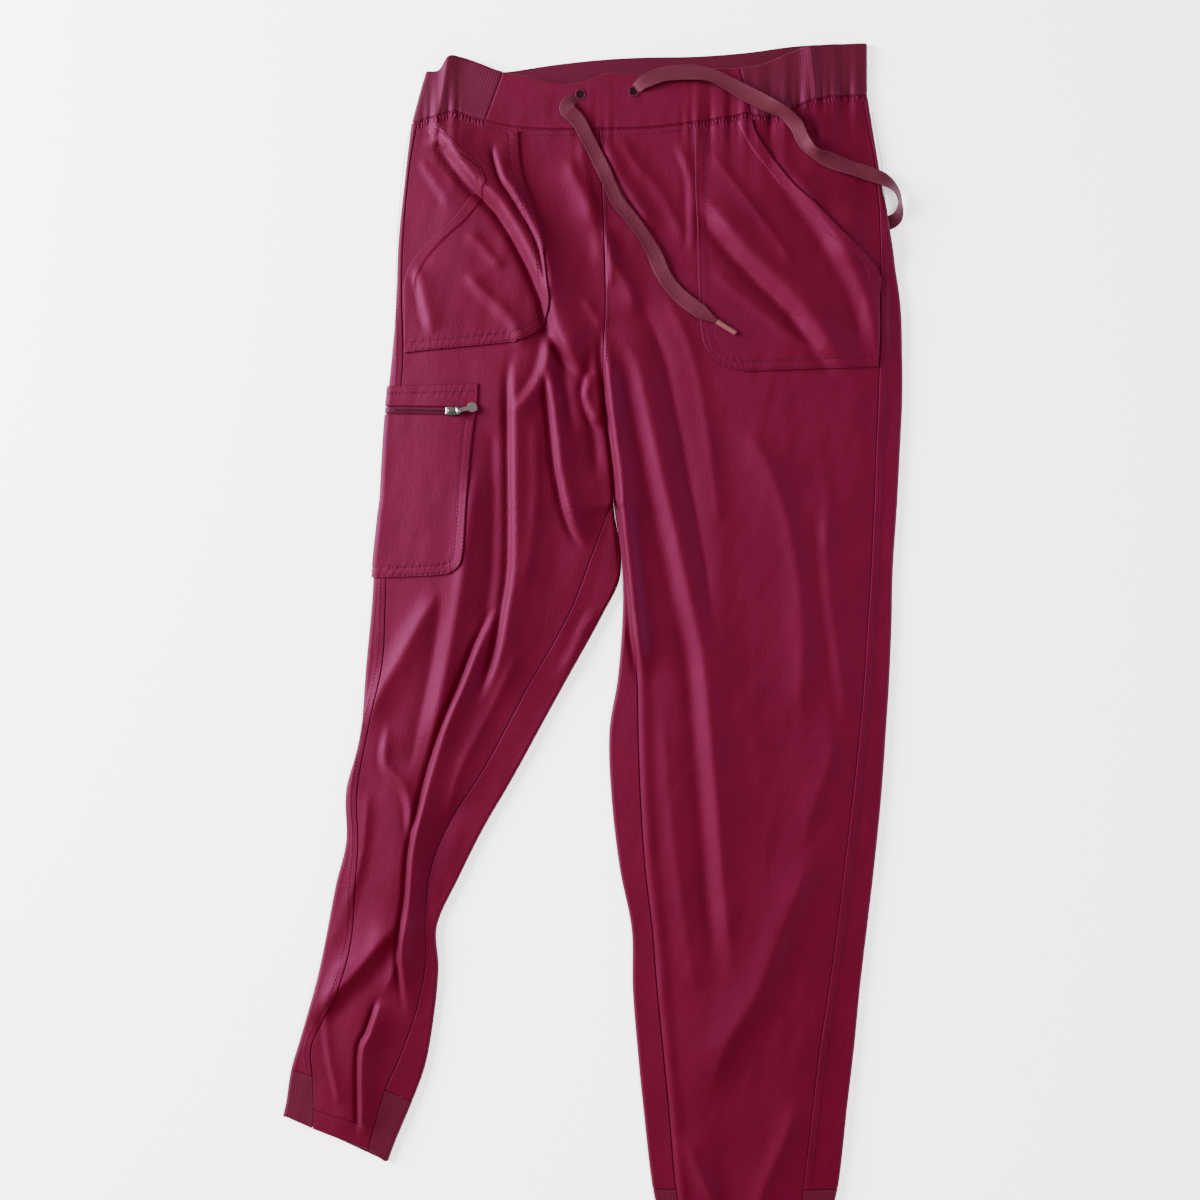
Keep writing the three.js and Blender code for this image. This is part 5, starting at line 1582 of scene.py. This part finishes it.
class TROUSERS_OT_stitching(Operator):
    """Make the topstitching of patches, waist, side seams and centre front"""

    bl_idname = "trousers.stitching"
    bl_label = "Stitching"

    def execute(self, context):
        pitch = context.scene.trousers_garment.stitch_pitch
        self.patches(pitch)
        self.openings(pitch)
        self.seams(pitch)
        self.waist(pitch)
        self.gathers()
        self.seam_rolls()
        return {"FINISHED"}

    def patches(self, pitch):
        """Two rows round each patch."""
        cargo = patch_edge(CARGO_BODY, CARGO_COLUMNS, CARGO_OUTER + 8)
        for name, leg, edge, turn in (("pocket_left", LEFT_LEG, patch_edge(POCKET_LEFT), 1),
                                      ("pocket_right", RIGHT_LEG, patch_edge(POCKET_RIGHT), -1),
                                      ("cargo", RIGHT_LEG, cargo[8:], -1)):
            lines = [on_cloth(leg, beside(edge, turn * distance)[3:-3], PATCH_ROW_LIFT)
                     for distance, _, _ in PATCH_SEAMS]
            topstitching(f"stitching_{name}", lines, pitch)

    def openings(self, pitch):
        """Two rows beside each pocket's opening, and one along the cargo pocket's top."""
        lines = []
        for leg, rows, turn, share in ((LEFT_LEG, POCKET_LEFT, -1, 0.55),
                                       (RIGHT_LEG, POCKET_RIGHT, 1, 0.34)):
            r = columns_at(rows, PATCH_COLUMNS, np.linspace(0.15, (len(rows) - 1) * share, 120))
            plan = np.stack([r["out_x"], r["out_y"]], axis=1)
            lines += [on_cloth(leg, beside(plan, turn * distance), HEM_ROW_LIFT)
                      for distance in OPENING_ROWS]
        rim = on_cloth(RIGHT_LEG, beside(CARGO_RIM[:2], -6.5), PATCH_HIGH)
        top_row = along_line(rim, np.linspace(8, arc_of(rim)[-1] - 3, 60))
        lines.append(on_cloth(RIGHT_LEG, top_row[:, :2], FLAP_ROW_LIFT))
        topstitching("stitching_openings", lines, pitch)

    def seams(self, pitch):
        """A row on each side strip, beside the side seam, and one beside the centre front."""
        lines = []
        t = np.linspace(0.2, BACK_END - 0.15, 420)[:, None]
        for _, leg in LEGS:
            line = leg.top(t, leg.columns(t)["side_x"] - leg.inward * SEAM_ROW)[:, 0]
            line[:, 2] += STRIP_ROW_LIFT
            lines.append(line)
        t = np.linspace(0.15, 5.6, 160)[:, None]
        line = LEFT_LEG.top(t, LEFT_LEG.columns(t)["front_x"] + CENTRE_ROW)[:, 0]
        line[:, 2] += CLOTH / 2
        topstitching("stitching_seams", [*lines, line], pitch)

    def waist(self, pitch):
        """One row below the waist seam."""
        x = np.linspace(-146, 226, 500)
        lines = []
        for leg, part in ((RIGHT_LEG, x[x < 4]), (LEFT_LEG, x[x > 12])):
            plan = np.stack([part, curve_at(WAIST_SEAM, part) - WAIST_ROW], axis=1)
            lines.append(on_cloth(leg, plan, CLOTH / 2))
        topstitching("stitching_waist", lines, pitch)

    def gathers(self):
        """Short rolls of cloth below the waist seam where the elastic gathers it, unevenly
        spaced, leaning and long by seeded draws."""
        random = np.random.default_rng(7)
        reach = np.array([0, 0.12, 0.35, 0.7, 1])[None, :]
        sunk = np.array([-0.35, 0.05, 0.05, -0.15, -0.75])
        paths = []
        for start, end in GATHERED:
            at = np.arange(start, end, TICK_PITCH)
            at = at + random.uniform(-0.4, 0.4, len(at))
            lean = random.uniform(-1.2, 1.2, len(at))
            long = random.uniform(0.6, 1.15, len(at)) * TICK_REACH
            x = at[:, None] + lean[:, None] * reach
            y = curve_at(WAIST_SEAM, x) - WAIST_GAP - 0.1 - long[:, None] * reach
            paths.append(np.stack([x, y, seam_height(x, y) + CLOTH / 2 + sunk], axis=-1))
        thread_mesh("waist_gathers", np.concatenate(paths), TICK_RADIUS, "cloth")

    def seam_rolls(self):
        """The waist seam's own roll of cloth, in the gap between the panels and the bands."""
        section = oval(0.55, 0.62, 10, 1, 1)
        for name, start, end in (("right", WAIST_ENDS[0], 7.5), ("left", 8.5, WAIST_ENDS[1])):
            x = np.linspace(start, end, 500)
            y = curve_at(WAIST_SEAM, x)
            centre = np.stack([x, y, seam_height(x, y) + 0.1], axis=1)
            run = unit(np.gradient(centre, axis=0))
            side = np.cross(UP, run)
            places, quads = carried(swept(centre, side, np.cross(run, side), section))
            solid_piece(f"waist_seam_{name}", places, quads, "cloth", None, uv=places[:, :2])


class TROUSERS_OT_buttonholes(Operator):
    """Make the stitched rims of the two buttonholes, and in their slots dark plates of painted shade"""

    bl_idname = "trousers.buttonholes"
    bl_label = "Buttonholes"

    def execute(self, context):
        for side, (x, y) in zip(("right", "left"), BUTTONHOLES):
            self.rim(side, x, y)
            self.slot(side, x, y)
        return {"FINISHED"}

    def rim(self, side, x, y):
        """A blunt oval ring of satin stitch, whose ripples are its threads."""
        angle = np.linspace(0, 2 * math.pi, RIM_PLACES, endpoint=False)
        c, s = np.cos(angle), np.sin(angle)
        rim_x = x + HOLE_HALF[0] * np.sign(c) * np.abs(c) ** RIM_BLUNT
        rim_y = y + HOLE_HALF[1] * np.sign(s) * np.abs(s) ** RIM_BLUNT
        z = band_height(rim_x, rim_y) + RIB_KNIT / 2 + 0.1
        out = np.stack([c, s, 0 * c], axis=1)
        rings = swept(np.stack([rim_x, rim_y, z], axis=1), out, np.broadcast_to(UP, out.shape),
                      oval(0.75, 0.45, 10, 1.0), 1 + 0.13 * np.cos(angle * RIM_THREADS))
        index = np.arange(rings[..., 0].size).reshape(rings.shape[:2])
        ahead = np.roll(index, -1, axis=0)
        quads = np.stack([index, np.roll(index, -1, axis=1), np.roll(ahead, -1, axis=1), ahead],
                         axis=-1).reshape(-1, 4)
        places = rings.reshape(-1, 3)
        solid_piece(f"buttonhole_rim_{side}", places, outward(places, quads), "thread", None,
                    uv=places[:, :2])

    def slot(self, side, x, y):
        """A thin oval plate inside the rim, near black: painted shade that stands for the opening."""
        angle = np.linspace(0.06, math.pi - 0.06, 16)
        plate = slab(HOLE_HALF[0] * -np.cos(angle), HOLE_HALF[1] * np.sin(angle), 0, 0.3, 0.1)
        z = band_height(np.array(x), np.array(y)) + RIB_KNIT / 2 - 0.1
        places, quads = carried(plate + np.array([x, y, z]))
        solid_piece(f"buttonhole_slot_{side}", places, quads, "slot", None, uv=places[:, :2])


def band_height(x, y):
    """Height of the front band's middle at places x, y, away from the folded edges."""
    return top_height(x, y, CROWN_REACH, CROWN_REACH)


class TROUSERS_PT_sidebar(Panel):
    """Shows a button for each step that makes the scene"""

    bl_idname = "TROUSERS_PT_sidebar"
    bl_label = "Scrub trousers"
    bl_space_type = "VIEW_3D"
    bl_region_type = "UI"
    bl_category = "Trousers"

    def draw(self, context):
        for operator in OPERATORS:
            self.layout.operator(operator.bl_idname)


OPERATORS = (
    TROUSERS_OT_materials,
    TROUSERS_OT_stage,
    TROUSERS_OT_drawstring,
    TROUSERS_OT_panels,
    TROUSERS_OT_cuffs,
    TROUSERS_OT_waistband,
    TROUSERS_OT_pockets,
    TROUSERS_OT_cargo,
    TROUSERS_OT_zip,
    TROUSERS_OT_stitching,
    TROUSERS_OT_buttonholes,
)
CLASSES = (GarmentSettings, StageSettings, *OPERATORS, TROUSERS_PT_sidebar)


def register():
    for item in CLASSES:
        bpy.utils.register_class(item)
    bpy.types.Scene.trousers_garment = PointerProperty(type=GarmentSettings)
    bpy.types.Scene.trousers_stage = PointerProperty(type=StageSettings)


def unregister():
    del bpy.types.Scene.trousers_garment
    del bpy.types.Scene.trousers_stage
    for item in reversed(CLASSES):
        bpy.utils.unregister_class(item)


def main():
    register()
    for operator in OPERATORS:
        group, name = operator.bl_idname.split(".")
        if getattr(getattr(bpy.ops, group), name)() != {"FINISHED"}:
            raise RuntimeError(f"{operator.bl_idname} didn't finish")


if __name__ == "__main__":
    main()
